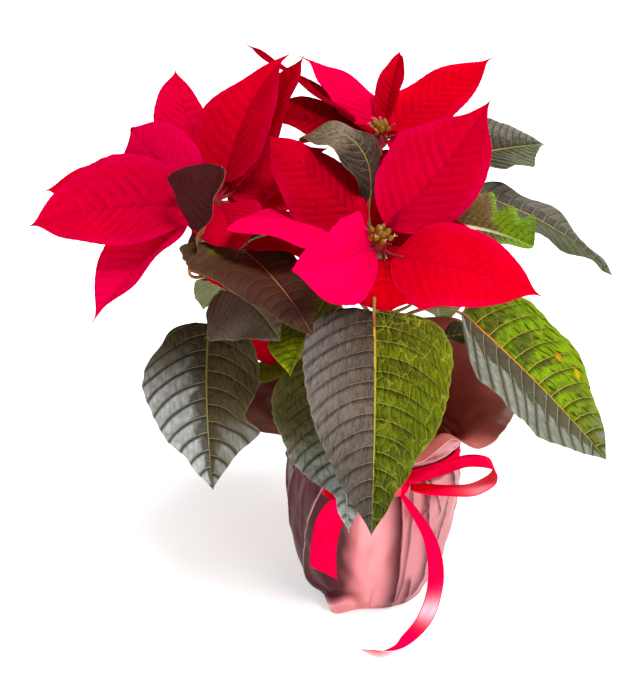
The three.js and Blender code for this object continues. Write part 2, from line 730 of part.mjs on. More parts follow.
// ---- wrap ----
// The collar's edge between its listed places, eased so that it stays smooth all the way round.
function collarAt(angle) {
  const places = collarEdge.length;
  const turn = (a) => ((a % 360) + 360) % 360;
  const first = collarEdge[0].angle;
  const here = turn(angle - first);
  let index = 0;
  while (index + 1 < places && turn(collarEdge[index + 1].angle - first) <= here) index += 1;
  const a = collarEdge[index];
  const b = collarEdge[(index + 1) % places];
  const span = turn(b.angle - a.angle);
  const share = THREE.MathUtils.smoothstep(turn(angle - a.angle) / span, 0, 1);
  return {
    radius: THREE.MathUtils.lerp(a.radius, b.radius, share),
    height: THREE.MathUtils.lerp(a.height, b.height, share),
  };
}

// Pleats round the wrap: two waves of unlike pitch, one to each side of the middle line.
function pleat(angle) {
  const turn = radians(angle);
  return 0.65 * Math.sin(13 * turn + 0.6) + 0.35 * Math.sin(5 * turn + 2);
}

function wrapProfile(angle) {
  const left = Math.max(0, -Math.cos(radians(angle)));
  const fromCorner = ((angle - filmCorner.angle + 540) % 360) - 180;
  const corner = Math.exp(-((fromCorner / filmCorner.spread) ** 2));
  const profile = wrapWall.map((row) => [
    row.radius + row.pleat * pleat(angle) + row.left * left + row.corner * corner,
    row.height,
  ]);
  const neck = wrapWall.at(-1);
  const edge = collarAt(angle);
  for (const share of collarRows) {
    const radius = THREE.MathUtils.lerp(neck.radius, edge.radius, share ** 1.15);
    const rise = Math.sin((share * Math.PI) / 2) ** 0.9;
    const arch = 5 * Math.sin(share * Math.PI);
    const ruffle = 2.2 * share * pleat(angle + 9);
    profile.push([radius + ruffle, neck.height + (edge.height - neck.height) * rise + arch]);
  }
  return profile;
}

function makeWrap() {
  const outer = [];
  const inner = [];
  for (let column = 0; column < wrapColumns; column++) {
    const angle = (360 * column) / wrapColumns;
    const profile = wrapProfile(angle);
    const turn = radians(angle);
    const place = (radius, height) =>
      new THREE.Vector3(radius * Math.cos(turn), radius * Math.sin(turn), height);
    outer.push(profile.map(([radius, height]) => place(radius, height)));
    inner.push(profile.map(([radius, height], row) => {
      const [radiusAfter, heightAfter] = profile[Math.min(row + 1, profile.length - 1)];
      const [radiusBefore, heightBefore] = profile[Math.max(row - 1, 0)];
      const run = radiusAfter - radiusBefore;
      const climb = heightAfter - heightBefore;
      const length = Math.hypot(run, climb);
      const inward = (filmThickness * climb) / length;
      return place(radius - inward, height + (filmThickness * run) / length);
    }));
  }
  const rows = outer[0].length;
  const points = [new THREE.Vector3(0, 0, 0), new THREE.Vector3(0, 0, filmThickness)];
  points.push(...outer.flat(), ...inner.flat());
  const out = (column, row) => 2 + (column % wrapColumns) * rows + row;
  const within = (column, row) => out(column, row) + wrapColumns * rows;
  const faces = [];
  for (let column = 0; column < wrapColumns; column++) {
    const next = column + 1;
    faces.push(0, out(next, 0), out(column, 0));
    faces.push(1, within(column, 0), within(next, 0));
    for (let row = 0; row + 1 < rows; row++) {
      const [a, b] = [out(column, row), out(next, row)];
      const [c, d] = [out(column, row + 1), out(next, row + 1)];
      faces.push(a, b, d, a, d, c);
      const shift = wrapColumns * rows;
      faces.push(a + shift, d + shift, b + shift, a + shift, c + shift, d + shift);
    }
    const top = rows - 1;
    faces.push(out(column, top), out(next, top), within(next, top));
    faces.push(out(column, top), within(next, top), within(column, top));
  }
  const geometry = new THREE.BufferGeometry().setFromPoints(points);
  geometry.setIndex(faces);
  addNode("wrap", solidOf(geometry), finishes.film);
}

// ---- ribbon ----
function makeRibbonBand() {
  const neck = wrapWall.at(-1);
  const inside = neck.radius + neck.pleat + gap;
  const high = neck.height - 1;
  const low = high - band.height;
  const outside = inside + ribbonThickness;
  const profile = [
    [inside, low], [outside, low + 1], [outside, high - 1], [inside, high], [inside, low],
  ];
  addNode("ribbon_band", lathe(profile, band.sides), finishes.ribbon);
}

// The knot, or with `clear` the room that the strips leave round it.
function knotSolid(clear) {
  const geometry = new THREE.IcosahedronGeometry(0.5, 1);
  geometry.scale(...knot.size.map((size) => size + 2 * clear));
  geometry.translate(...knot.centre);
  geometry.setIndex([...Array(geometry.getAttribute("position").count).keys()]);
  return solidOf(geometry);
}

function makeRibbonStrip(name, { points, across, ends }) {
  const curve = new THREE.CatmullRomCurve3(points.map(vector));
  const length = curve.getLength();
  const steps = 2 * (points.length - 1);
  const top = [];
  const bottom = [];
  for (let step = 0; step <= steps; step++) {
    const along = step / steps;
    const centre = curve.getPoint(along);
    const tangent = curve.getTangent(along);
    const level = new THREE.Vector3(0, 1, 0).addScaledVector(tangent, -tangent.y).normalize();
    const place = along * (across.length - 1);
    const before = Math.min(Math.floor(place), across.length - 2);
    const turn = THREE.MathUtils.lerp(across[before], across[before + 1], place - before);
    const width = level.applyAxisAngle(tangent, radians(turn));
    const normal = tangent.clone().cross(width);
    const fromKnot = Math.min(ends[0] ? along : 1, ends[1] ? 1 - along : 1) * length;
    const half = (ribbonWidth / 2) * (1 - gather.share * Math.exp(-((fromKnot / gather.reach) ** 2)));
    const rows = [-half, half].map((reach) => centre.clone().addScaledVector(width, reach));
    top.push(rows.map((point) => point.clone().addScaledVector(normal, ribbonThickness / 2)));
    bottom.push(rows.map((point) => point.clone().addScaledVector(normal, -ribbonThickness / 2)));
  }
  addNode(name, solidFromSheets(bottom, top).subtract(knotSolid(gap)), finishes.ribbon);
}

makePot();
makeWrap();
makeRibbonBand();
addNode("ribbon_knot", knotSolid(0), finishes.ribbon);
for (const [name, path] of Object.entries(ribbonPaths)) makeRibbonStrip(name, path);
makeStems();
blooms.forEach(makeBloom);
makeLeaves();

export default root;
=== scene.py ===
import bpy
import numpy as np
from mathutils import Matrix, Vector


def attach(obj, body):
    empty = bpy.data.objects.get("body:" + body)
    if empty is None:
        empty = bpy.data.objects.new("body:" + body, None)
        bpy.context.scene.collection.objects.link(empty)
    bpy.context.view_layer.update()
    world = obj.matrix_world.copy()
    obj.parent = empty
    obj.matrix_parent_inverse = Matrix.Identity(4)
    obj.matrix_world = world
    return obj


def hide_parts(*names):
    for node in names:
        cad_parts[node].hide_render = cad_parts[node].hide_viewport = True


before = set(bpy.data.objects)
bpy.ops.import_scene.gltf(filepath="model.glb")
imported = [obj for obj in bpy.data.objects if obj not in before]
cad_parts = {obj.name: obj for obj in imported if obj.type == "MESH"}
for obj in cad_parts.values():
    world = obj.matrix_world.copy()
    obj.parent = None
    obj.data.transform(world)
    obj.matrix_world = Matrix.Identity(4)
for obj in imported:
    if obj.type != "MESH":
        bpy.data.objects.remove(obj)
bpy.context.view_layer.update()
scene = bpy.context.scene
mm = 0.001
up = np.array((0.0, 0.0, 1.0))
# The camera looks down on its target by elevation; focal and height are in pixels.
view = dict(target=(-42, 0, 196), distance=800, elevation=18, focal=1067, height=700, sensor=24)


def makeCamera():
    tilt = np.radians(view["elevation"])
    back = np.array((0, -np.cos(tilt), np.sin(tilt)))
    lens = bpy.data.cameras.new("camera")
    lens.sensor_fit = "VERTICAL"
    lens.sensor_height = view["sensor"]
    lens.sensor_width = view["sensor"]
    lens.lens = view["sensor"] * view["focal"] / view["height"]
    camera = bpy.data.objects.new("camera", lens)
    camera.location = Vector((np.array(view["target"]) + back * view["distance"]) * mm)
    camera.rotation_euler = (np.pi / 2 - tilt, 0, 0)
    scene.collection.objects.link(camera)
    scene.camera = camera


makeCamera()
scene.view_settings.view_transform = "Standard"
print("camera set")


# A node's output that arithmetic works on: each operator adds one Math node.
class Value:
    def __init__(self, paint, socket):
        self.paint = paint
        self.socket = socket

    def maths(self, operation, *values, clamp=False):
        settings = dict(operation=operation, use_clamp=clamp)
        return self.paint.node("ShaderNodeMath", settings, values)

    def __add__(self, other):
        return self.maths("ADD", self, other)

    def __sub__(self, other):
        return self.maths("SUBTRACT", self, other)

    def __rsub__(self, other):
        return self.maths("SUBTRACT", other, self)

    def __mul__(self, other):
        return self.maths("MULTIPLY", self, other)

    def __pow__(self, other):
        return self.maths("POWER", self, other)

    __radd__ = __add__
    __rmul__ = __mul__

    def size(self):
        return self.maths("ABSOLUTE", self)

    def rest(self):
        return self.maths("FRACT", self)

    def clipped(self):
        return self.maths("ADD", self, 0, clamp=True)

    # 0 below low, 1 above high, and a smooth step between them
    def step(self, low, high):
        settings = dict(interpolation_type="SMOOTHSTEP")
        return self.paint.node("ShaderNodeMapRange", settings, dict(Value=self, **{
            "From Min": low, "From Max": high, "To Min": 0.0, "To Max": 1.0}))


# A material whose nodes are written as expressions.
class Paint:
    def __init__(self, name):
        self.material = bpy.data.materials.new(name)
        self.material.use_nodes = True
        self.tree = self.material.node_tree
        self.tree.nodes.clear()

    # Settings go in first, then the sockets' values or links, by name or in order.
    def node(self, kind, settings=None, sockets=(), output=0):
        made = self.tree.nodes.new(kind)
        for key, value in (settings or {}).items():
            if key == "stops":
                if len(value) < 2:
                    value = value * 2
                for place, (position, colour) in enumerate(value):
                    if place >= len(made.color_ramp.elements):
                        made.color_ramp.elements.new(position)
                    made.color_ramp.elements[place].position = position
                    made.color_ramp.elements[place].color = (*colour, 1)
            else:
                setattr(made, key, value)
        named = sockets.items() if isinstance(sockets, dict) else enumerate(sockets)
        for socket, value in named:
            if isinstance(value, Value):
                self.tree.links.new(value.socket, made.inputs[socket])
            elif value is not None:
                made.inputs[socket].default_value = value
        return Value(self, made.outputs[output])

    def mix(self, share, first, second, blend="MIX"):
        first, second = ((*c, 1) if isinstance(c, tuple) else c for c in (first, second))
        settings = dict(data_type="RGBA", blend_type=blend, clamp_factor=True)
        return self.node("ShaderNodeMix", settings, {0: share, 6: first, 7: second}, 2)

    # coats laid over a colour one after another, each with its share
    def coats(self, colour, *coats):
        for share, coat in coats:
            colour = self.mix(share, colour, coat)
        return colour

    def ramp(self, value, *stops):
        return self.node("ShaderNodeValToRGB", dict(stops=stops), (value,))

    def uv(self, name):
        found = self.node("ShaderNodeUVMap", dict(uv_map=name))
        both = [self.node("ShaderNodeSeparateXYZ", None, (found,), axis) for axis in (0, 1)]
        return found, *both

    def place(self):
        return self.node("ShaderNodeTexCoord", None, (), "Object")

    def attribute(self, name):
        return self.node("ShaderNodeAttribute", dict(attribute_name=name), (), "Fac")

    def noise(self, place, scale, detail=3.0, output=0):
        sockets = dict(Vector=place, Scale=scale, Detail=detail)
        return self.node("ShaderNodeTexNoise", None, sockets, output)

    def cells(self, place, scale, feature="DISTANCE_TO_EDGE"):
        sockets = dict(Vector=place, Scale=scale)
        return self.node("ShaderNodeTexVoronoi", dict(feature=feature), sockets)

    def stretch(self, place, scale):
        return self.node("ShaderNodeMapping", None, dict(Vector=place, Scale=scale))

    # a place moved about by a noise's colour, as much as amount
    def shifted(self, place, noise, amount):
        moved = self.node("ShaderNodeVectorMath", dict(operation="SCALE"), dict(Vector=noise, Scale=amount))
        return self.node("ShaderNodeVectorMath", dict(operation="ADD"), (place, moved))

    def lightness(self, colour):
        return self.node("ShaderNodeRGBToBW", None, (colour,))

    def bump(self, height, distance, strength=1.0):
        sockets = dict(Height=height, Distance=distance, Strength=strength)
        return self.node("ShaderNodeBump", None, sockets)

    def surface(self, colour, rough, normal=None, gloss=None, **more):
        if isinstance(colour, tuple):
            colour = (*colour, 1)
        more.update({"Base Color": colour, "Roughness": rough, "Normal": normal})
        more["Specular IOR Level"] = gloss
        return self.node("ShaderNodeBsdfPrincipled", None, more)

    def through(self, colour, normal=None):
        return self.node("ShaderNodeBsdfTranslucent", None, dict(Color=(*colour, 1), Normal=normal))

    def blend(self, share, first, second):
        return self.node("ShaderNodeMixShader", None, {0: share, 1: first, 2: second})

    def finish(self, shader):
        end = self.tree.nodes.new("ShaderNodeOutputMaterial")
        self.tree.links.new(shader.socket, end.inputs["Surface"])
        return self.material


# A colour as a picture editor gives it, red, green and blue out of 255, in linear light.
def rgb(*parts):
    value = np.array(parts) / 255
    bright = ((value + 0.055) / 1.055) ** 2.4
    return tuple(float(v) for v in np.where(value > 0.04045, bright, value / 12.92))


# Gathers closed surfaces into one mesh, with the coordinates that its material reads.
class Shell:
    def __init__(self):
        self.points = []
        self.faces = []
        self.slots = []
        self.maps = []
        self.count = 0

    def add(self, points, faces, maps, slot=0):
        self.points.append(np.reshape(points, (-1, 3)))
        for block in faces:
            self.faces.extend((block + self.count).tolist())
            self.slots.extend([slot] * len(block))
        self.maps.append({name: np.reshape(value, (len(self.points[-1]), -1))
                          for name, value in maps.items()})
        self.count += len(self.points[-1])

    # Two columns make a UV map, one column makes a number at each point.
    def make(self, name, nodes, slot, *materials):
        mesh = bpy.data.meshes.new(name)
        mesh.from_pydata(np.concatenate(self.points) * mm, [], self.faces)
        mesh.polygons.foreach_set("material_index", self.slots)
        mesh.polygons.foreach_set("use_smooth", np.ones(len(self.faces), bool))
        corners = np.empty(len(mesh.loops), np.int32)
        mesh.loops.foreach_get("vertex_index", corners)
        for key in self.maps[0]:
            values = np.concatenate([part[key] for part in self.maps])
            if values.shape[1] == 2:
                layer = mesh.uv_layers.new(name=key)
                layer.data.foreach_set("uv", values[corners].ravel())
            else:
                layer = mesh.attributes.new(key, "FLOAT", "POINT")
                layer.data.foreach_set("value", values.ravel())
        for material in materials:
            mesh.materials.append(material)
        mesh.validate()
        piece = bpy.data.objects.new(name, mesh)
        scene.collection.objects.link(piece)
        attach(piece, "root")
        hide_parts(*nodes)
        return piece


# Vectors made one long.
def unit(vectors):
    return vectors / np.linalg.norm(vectors, axis=-1, keepdims=True)


# Angles once round, in equal steps.
def circle(sides):
    return np.linspace(0, 2 * np.pi, sides, endpoint=False)


# A smooth hump that is 1 in its middle: exp(-(distance/width)^2).
def bell(distance, width):
    return np.exp(-(distance / width) ** 2)


# Length along a line at each of its points.
def runLength(line):
    return np.concatenate(((0,), np.cumsum(np.linalg.norm(np.diff(line, axis=0), axis=1))))


# Quads between a grid's rows and columns, in order round an outward side.
def gridFaces(index):
    return np.stack((index[:-1, :-1], index[:-1, 1:], index[1:, 1:], index[1:, :-1]), -1).reshape(-1, 4)


# Direction square to a closed grid of points: the cross product of its steps round and along.
def gridNormals(points):
    around = np.roll(points, -1, 1) - np.roll(points, 1, 1)
    normals = np.cross(around, np.gradient(points, axis=0))
    return normals / np.maximum(np.linalg.norm(normals, axis=-1, keepdims=True), 1e-9)


# Two like grids, the upper and the lower side of a thin blade, joined round their edge.
def addSheet(shell, upper, lower, maps):
    rows, columns = upper.shape[:2]
    index = np.arange(rows * columns).reshape(rows, columns)
    edge = np.concatenate((index[0, :-1], index[:-1, -1], index[-1, :0:-1], index[:0:-1, 0]))
    after = np.roll(edge, -1)
    under = rows * columns
    rim = np.stack((edge, edge + under, after + under, after), -1)
    faces = (gridFaces(index), gridFaces(index + under)[:, ::-1], rim)
    both = {name: np.concatenate([np.reshape(value, (under, -1))] * 2) for name, value in maps.items()}
    both["upper"] = np.repeat((1.0, 0.0), under)
    shell.add(np.concatenate((upper.reshape(-1, 3), lower.reshape(-1, 3))), faces, both)


# Closed skin over rings of points that run round the same way, with a flat end over the first and
# the last ring. With loop the last ring meets the first instead. One or two numbers given for a
# map hold at every point.
def addRings(shell, rings, maps, slot=0, loop=False):
    rows, sides = rings.shape[:2]
    index = np.arange(rows * sides).reshape(rows, sides)
    looped = np.concatenate((index, index[:, :1]), 1)
    if loop:
        faces = (gridFaces(np.concatenate((looped, looped[:1]))),)
    else:
        faces = (gridFaces(looped), index[:1, ::-1], index[-1:])
    filled = {name: np.tile(value, (rows * sides, 1)) if np.size(value) < 3 else value
              for name, value in maps.items()}
    shell.add(rings, faces, filled, slot)


# Two directions square to an axis and to each other.
def square(axis):
    helper = up if abs(axis @ up) < 0.9 else np.array((1.0, 0.0, 0.0))
    first = unit(np.cross(axis, helper))
    return first, np.cross(axis, first)


# A round form about an axis: rings of the given radii at the given heights, each radius times
# 1 + wobble where that is given for every ring and side.
def latheRings(centre, axis, radii, heights, sides, wobble=0):
    first, second = square(axis)
    turn = circle(sides)[:, None]
    around = np.cos(turn) * first + np.sin(turn) * second
    reach = np.reshape(radii, (-1, 1)) * (1 + wobble) + 0 * turn[:, 0]
    return centre + reach[..., None] * around + np.reshape(heights, (-1, 1, 1)) * axis


# A ball, open by a pin's width at the two ends of its axis, where flat ends close it.
def addBall(shell, centre, axis, radius, rows, sides, maps, slot=0):
    polar = np.linspace(0.02, np.pi - 0.02, rows)
    rings = latheRings(centre, axis, radius * np.sin(polar), -radius * np.cos(polar), sides)
    addRings(shell, rings, maps, slot)


# A round tube along a path.
def addTube(shell, path, radii, sides, maps, slot=0):
    steps = unit(np.gradient(path, axis=0))
    first = unit(np.cross(steps, square(steps[len(steps) // 2])[0]))
    second = np.cross(steps, first)
    turn = circle(sides)[:, None]
    around = np.cos(turn) * first[:, None] + np.sin(turn) * second[:, None]
    addRings(shell, path[:, None] + np.reshape(radii, (-1, 1, 1)) * around, maps, slot)


# A smooth line through all its points: Catmull-Rom pieces, each a cubic in its own share.
def smoothLine(points, count):
    points = np.asarray(points, float)
    padded = np.concatenate((2 * points[:1] - points[1:2], points, 2 * points[-1:] - points[-2:-1]))
    place = np.linspace(0, len(points) - 1, count)
    first = np.minimum(place.astype(int), len(points) - 2)
    share = (place - first).reshape((-1,) + (1,) * (points.ndim - 1))
    a, b, c, d = (padded[first + step] for step in range(4))
    return 0.5 * (2 * b + (c - a) * share + (2 * a - 5 * b + 4 * c - d) * share ** 2
                  + (3 * b - a - 3 * c + d) * share ** 3)


# A cubic from foot to end that first and second pull towards them.
def bezier(foot, first, second, end, count):
    share = np.linspace(0, 1, count)[:, None]
    rest = 1 - share
    return (rest ** 3 * foot + 3 * rest ** 2 * share * first
            + 3 * rest * share ** 2 * second + share ** 3 * end)


# Turns a vector by an angle about an axis that it stands square to.
def turned(vector, axis, angle):
    return vector * np.cos(angle)[:, None] + np.cross(axis, vector) * np.sin(angle)[:, None]


# The midrib leaves start at heading and rise, sinks by droop and swings by sway to the tip.
def midrib(blade, along):
    rise = np.radians(blade["rise"] - blade["droop"] * along ** blade["bend"])
    heading = np.radians(blade["heading"] + blade["sway"] * along)
    direction = np.stack((np.cos(rise) * np.cos(heading), np.cos(rise) * np.sin(heading), np.sin(rise)), 1)
    level = np.stack((np.sin(heading), -np.cos(heading), 0 * heading), 1)
    side = turned(level, direction, -np.radians(blade["roll"] + blade["twist"] * along))
    middle = (direction[1:] + direction[:-1]) / 2 * np.diff(along)[:, None] * blade["length"]
    centre = np.asarray(blade["start"]) + np.concatenate((np.zeros((1, 3)), np.cumsum(middle, 0)))
    return centre, direction, side, np.cross(side, direction)


# Half width = half the full width x (u/belly)^early x ((1-u)/(1-belly))^late, drawn out at the tip.
def halfWidth(blade, along):
    u = np.clip(along, 0.004, 0.996)
    belly = blade["belly"]
    early = belly * blade["slim"]
    late = (1 - belly) * blade["slim"]
    share = (u / belly) ** early * ((1 - u) / (1 - belly)) ** late
    drawn = 1 - blade["tail"] * bell(1 - along, blade["tailReach"])
    return blade["width"] / 2 * share * drawn, share


# Each half is an arc whose slope goes from fold at the midrib to fold + cup at the edge; the edge
# ripples, the field between two veins swells up, and low waves keep it from looking pressed.
def addBlade(shell, blade, rows, columns, numbers):
    t = np.linspace(0, 1, rows + 1)
    along = 0.72 * t + 0.28 * (0.5 - 0.5 * np.cos(np.pi * t))
    centre, _, side, normal = midrib(blade, along)
    half, share = halfWidth(blade, along)
    outward = np.append(np.linspace(0, 1, columns // 2) ** 1.15 * 0.985, 1)
    across = np.concatenate((-outward[:0:-1], outward))[None, :]
    hand = np.sign(across)
    out = np.abs(across)
    width = half[:, None] * np.where(hand > 0, blade["halves"][1], blade["halves"][0])
    for toothSide, place, size in blade["teeth"]:
        bulge = blade["width"] / 2 * size * bell(along - place, blade["toothReach"])
        width = width + bulge[:, None] * (hand == toothSide)
    slant, arch = blade["veinSlant"], blade["veinArch"]
    lane = blade["veins"] * (along[:, None] - (slant * out + arch * out ** 2) * width / blade["length"])
    lane = lane + 0.35 * (hand > 0)
    uneven = 0.6 * np.sin(21 * along + 1.7 * blade["length"]) + 0.4 * np.sin(37 * along + blade["heading"])
    scallop = 1 + blade["scallop"] * (np.cos(2 * np.pi * lane) + uneven[:, None]) * out ** 4
    width = np.maximum(width * scallop, 0.25)
    fold, cup = np.radians(blade["fold"]), np.radians(blade["cup"])
    reach = width * (np.sin(fold + cup * out) - np.sin(fold)) / cup
    lift = width * (np.cos(fold) - np.cos(fold + cup * out)) / cup
    body = np.minimum(1, 4 * share)[:, None]
    u = along[:, None]
    ripple = np.sin(2 * np.pi * blade["waves"] * u + blade["phase"] + hand * 1.3)
    ripple = blade["wave"] * out ** 2 * body * ripple
    fromRib = out * width
    swell = np.abs(np.sin(np.pi * lane)) ** 0.75 - 0.55
    swell = blade["quilt"] * swell * np.minimum(1, fromRib / 5) * (1 - out ** 6) * body
    seed = blade["phase"] + blade["length"]
    low = np.sin(9.1 * u + 3.1 * across + seed) + 0.6 * np.sin(15.7 * u - 4.3 * across + 2 * seed)
    low = blade["unrest"] * low * body * np.minimum(1, fromRib / 12)
    furrow = -0.5 * bell(fromRib, 1.2) * body
    height = lift + ripple + swell + low + furrow
    point = (centre[:, None] + (hand * reach)[..., None] * side[:, None]
             + height[..., None] * normal[:, None])
    thick = (0.5 * blade["thickness"] * (1 - 0.55 * out ** 6))[..., None] * normal[:, None]
    rib = blade["rib"] * (1 - 0.75 * u) * bell(fromRib, 1.1)
    lower = point - thick - rib[..., None] * normal[:, None]
    x = u * blade["length"] / 10 + 0 * across
    y = across * width / 10
    maps = dict(flat=np.stack((x + seed, y), -1), veins=np.stack((lane, y), -1),
                spread=np.stack(np.broadcast_arrays(u, across), -1))
    maps.update({name: np.full(x.shape, float(value)) for name, value in numbers.items()})
    addSheet(shell, point + thick, lower, maps)


# The stalk runs from its foot into the first part of the midrib.
def addStalk(shell, foot, blade, maps, slot=1):
    _, direction, _, _ = midrib(blade, np.array((0.0, 1.0)))
    start = np.asarray(blade["start"], float)
    reach = np.linalg.norm(foot - start)
    before = start - 0.35 * reach * direction[0]
    inside = start + 0.07 * blade["length"] * direction[0]
    steps, sides = 22, 12
    path = bezier(foot, (foot + before) / 2, before, inside, steps)
    addTube(shell, path, np.linspace(stalk["radius"], stalk["tip"], steps), sides, maps, slot)


# What both skins share: nearness to the side veins, the midrib and the finer nets. The cross veins
# run from one side vein to the next, so their cells are long across the lanes.
def veinMarks(paint, look):
    flat, _, _ = paint.uv("flat")
    veins, lane, offset = paint.uv("veins")
    _, along, across = paint.uv("spread")
    wander = paint.noise(flat, 0.8) - 0.5
    out = across.size()
    near = ((lane + wander * 0.1 + 0.5).rest() - 0.5).size()
    width = look["veinWidth"] * (1 - out * 0.6)
    line = 1 - near.step(width * 0.3, width)
    ribWidth = look["ribWidth"] * (1 - along * 0.75)
    rib = 1 - offset.size().step(ribWidth * 0.55, ribWidth)
    bent = paint.shifted(paint.stretch(veins, (1, 2.3, 1)), paint.noise(flat, 1.1, output=1), 0.7)
    pillow = paint.cells(bent, 1)
    # lit, a cell's height less that of a nudged copy, paints shade on one side of each cell and light on
    # the other
    nudged = paint.node("ShaderNodeVectorMath", dict(operation="ADD"), (bent, (0.14, 0.22, 0)))
    lit = pillow - paint.cells(nudged, 1)
    fine = paint.cells(paint.shifted(flat, paint.noise(flat, 3, output=1), 0.2), 6)
    net = (1 - pillow.step(0.01, 0.055)) * (0.4 + wander * 1.6).clipped()
    return dict(flat=flat, veins=veins, lane=lane, along=along, across=across, wander=wander, out=out,
                line=line, rib=rib, pillow=pillow, net=net, lit=lit, fine=1 - fine.step(0.01, 0.13))


# Each half of a leaf has its own colours along it, which paint light and shade, as one half faces the light
# and the other not. The quilts between the side veins get painted shade on one side and, where there is
# sheen, a painted pale sheen on the other.
def leafMaterial(name, look):
    look = dict(plainLeaf, **look)
    paint = Paint(name)
    m = veinMarks(paint, look)
    flat, along, across, out = m["flat"], m["along"], m["across"], m["out"]
    onRight = across.step(-0.02, 0.02)

    # the left half's number, which passes to the right half's over the midrib
    def half(key):
        left, right = look[key]
        return left + onRight * (right - left)

    def tint(key):
        return rgb(*look[key])

    def ramp(place, key):
        return paint.ramp(place, *((stop, rgb(*colour)) for stop, *colour in look[key]))

    def greys(key):
        return paint.ramp(along, *((stop, (grey,) * 3) for stop, grey in look[key]))

    place = along + m["wander"] * 0.16 + (out - 0.5) * look["lean"]
    field = paint.mix(onRight, ramp(place, "left"), ramp(place, "right"))
    veins = paint.mix(onRight, ramp(along, "leftVeins"), ramp(along, "rightVeins"))
    # depth is the colour of each half's painted shade
    depth = paint.mix(onRight, tint("leftShade"), tint("rightShade"))
    sheen = paint.mix(onRight, greys("leftSheen"), greys("rightSheen"))
    between = (m["lane"] + m["wander"] * 0.1).rest()
    # painted shade in a band beside each side vein
    shade = (1 - between.step(0.03, look["shadeReach"])) * (1 - out ** 4) * look["shade"]
    cloud = paint.noise(flat, 1.3).step(0.35, 0.7)
    # patch: painted shade in dark patches stretched along the lanes, less towards the edge
    patch = paint.noise(paint.stretch(m["veins"], (0.8, 0.34, 1)), 1, 3).step(0.47, 0.63)
    patch = patch * (1 - out.step(0.35, 0.9) * 0.75) * half("patchy")
    # a painted pale sheen on the far side of each quilt, outwards from sheenFrom
    reach = look["sheenFrom"] + m["wander"] * 0.5 + (between - 0.5) * 0.16
    band = between.step(0.1, look["shadeReach"]) * (1 - between.step(0.9, 1))
    band = band * (out - reach).step(-look["sheenSoft"], look["sheenSoft"]) * (1.1 - between * 0.45)
    paintedSheen = band * (0.66 + cloud * 0.34 + m["lit"] * 0.8) * (1 - m["net"] * 0.4)
    # Over the field go painted shade, random cloud, painted shade in patches and beside the cross veins,
    # the painted sheen, then the veins, midrib and edge.
    colour = paint.coats(
        field, (shade, depth), (cloud * look["cloud"], depth), (patch, tint("patch")),
        ((m["lit"] * -1 * half("cross")).clipped(), depth),
        ((paintedSheen * paint.lightness(sheen)).clipped(), tint("sheen")),
        ((m["fine"] * 0.2 + m["net"]).clipped() * half("net"), veins),
        (m["line"] * look["line"], veins), (m["rib"], ramp(along, "rib")),
        (out.step(0.965, 0.992) * look["edge"], veins))
    for u, v, size, spot in look["spots"]:
        far = (((along - u) * 2.4) ** 2 + (across - v) ** 2) ** 0.5
        colour = paint.mix(1 - (far + m["wander"] * 0.05).step(size * 0.4, size), colour, rgb(*spot))
    under = paint.mix((m["line"] + m["rib"]).clipped(), tint("under"), tint("underVeins"))
    colour = paint.mix(paint.attribute("upper"), under, colour)
    grain = paint.noise(flat, 24, 4)
    relief = m["pillow"].step(0, 0.35) * 0.8 - m["fine"] * 0.16 - m["line"] * 0.4 + grain * 0.1
    bump = paint.bump(relief, 0.0014, look["relief"])
    skin = paint.surface(colour, look["rough"] + grain * 0.12, bump, look["gloss"])
    glow = (half("glow") * (1 - shade * 0.7) * (1 - m["rib"] * 0.6)).clipped()
    return paint.finish(paint.blend(glow, skin, paint.through(tint("through"), bump)))


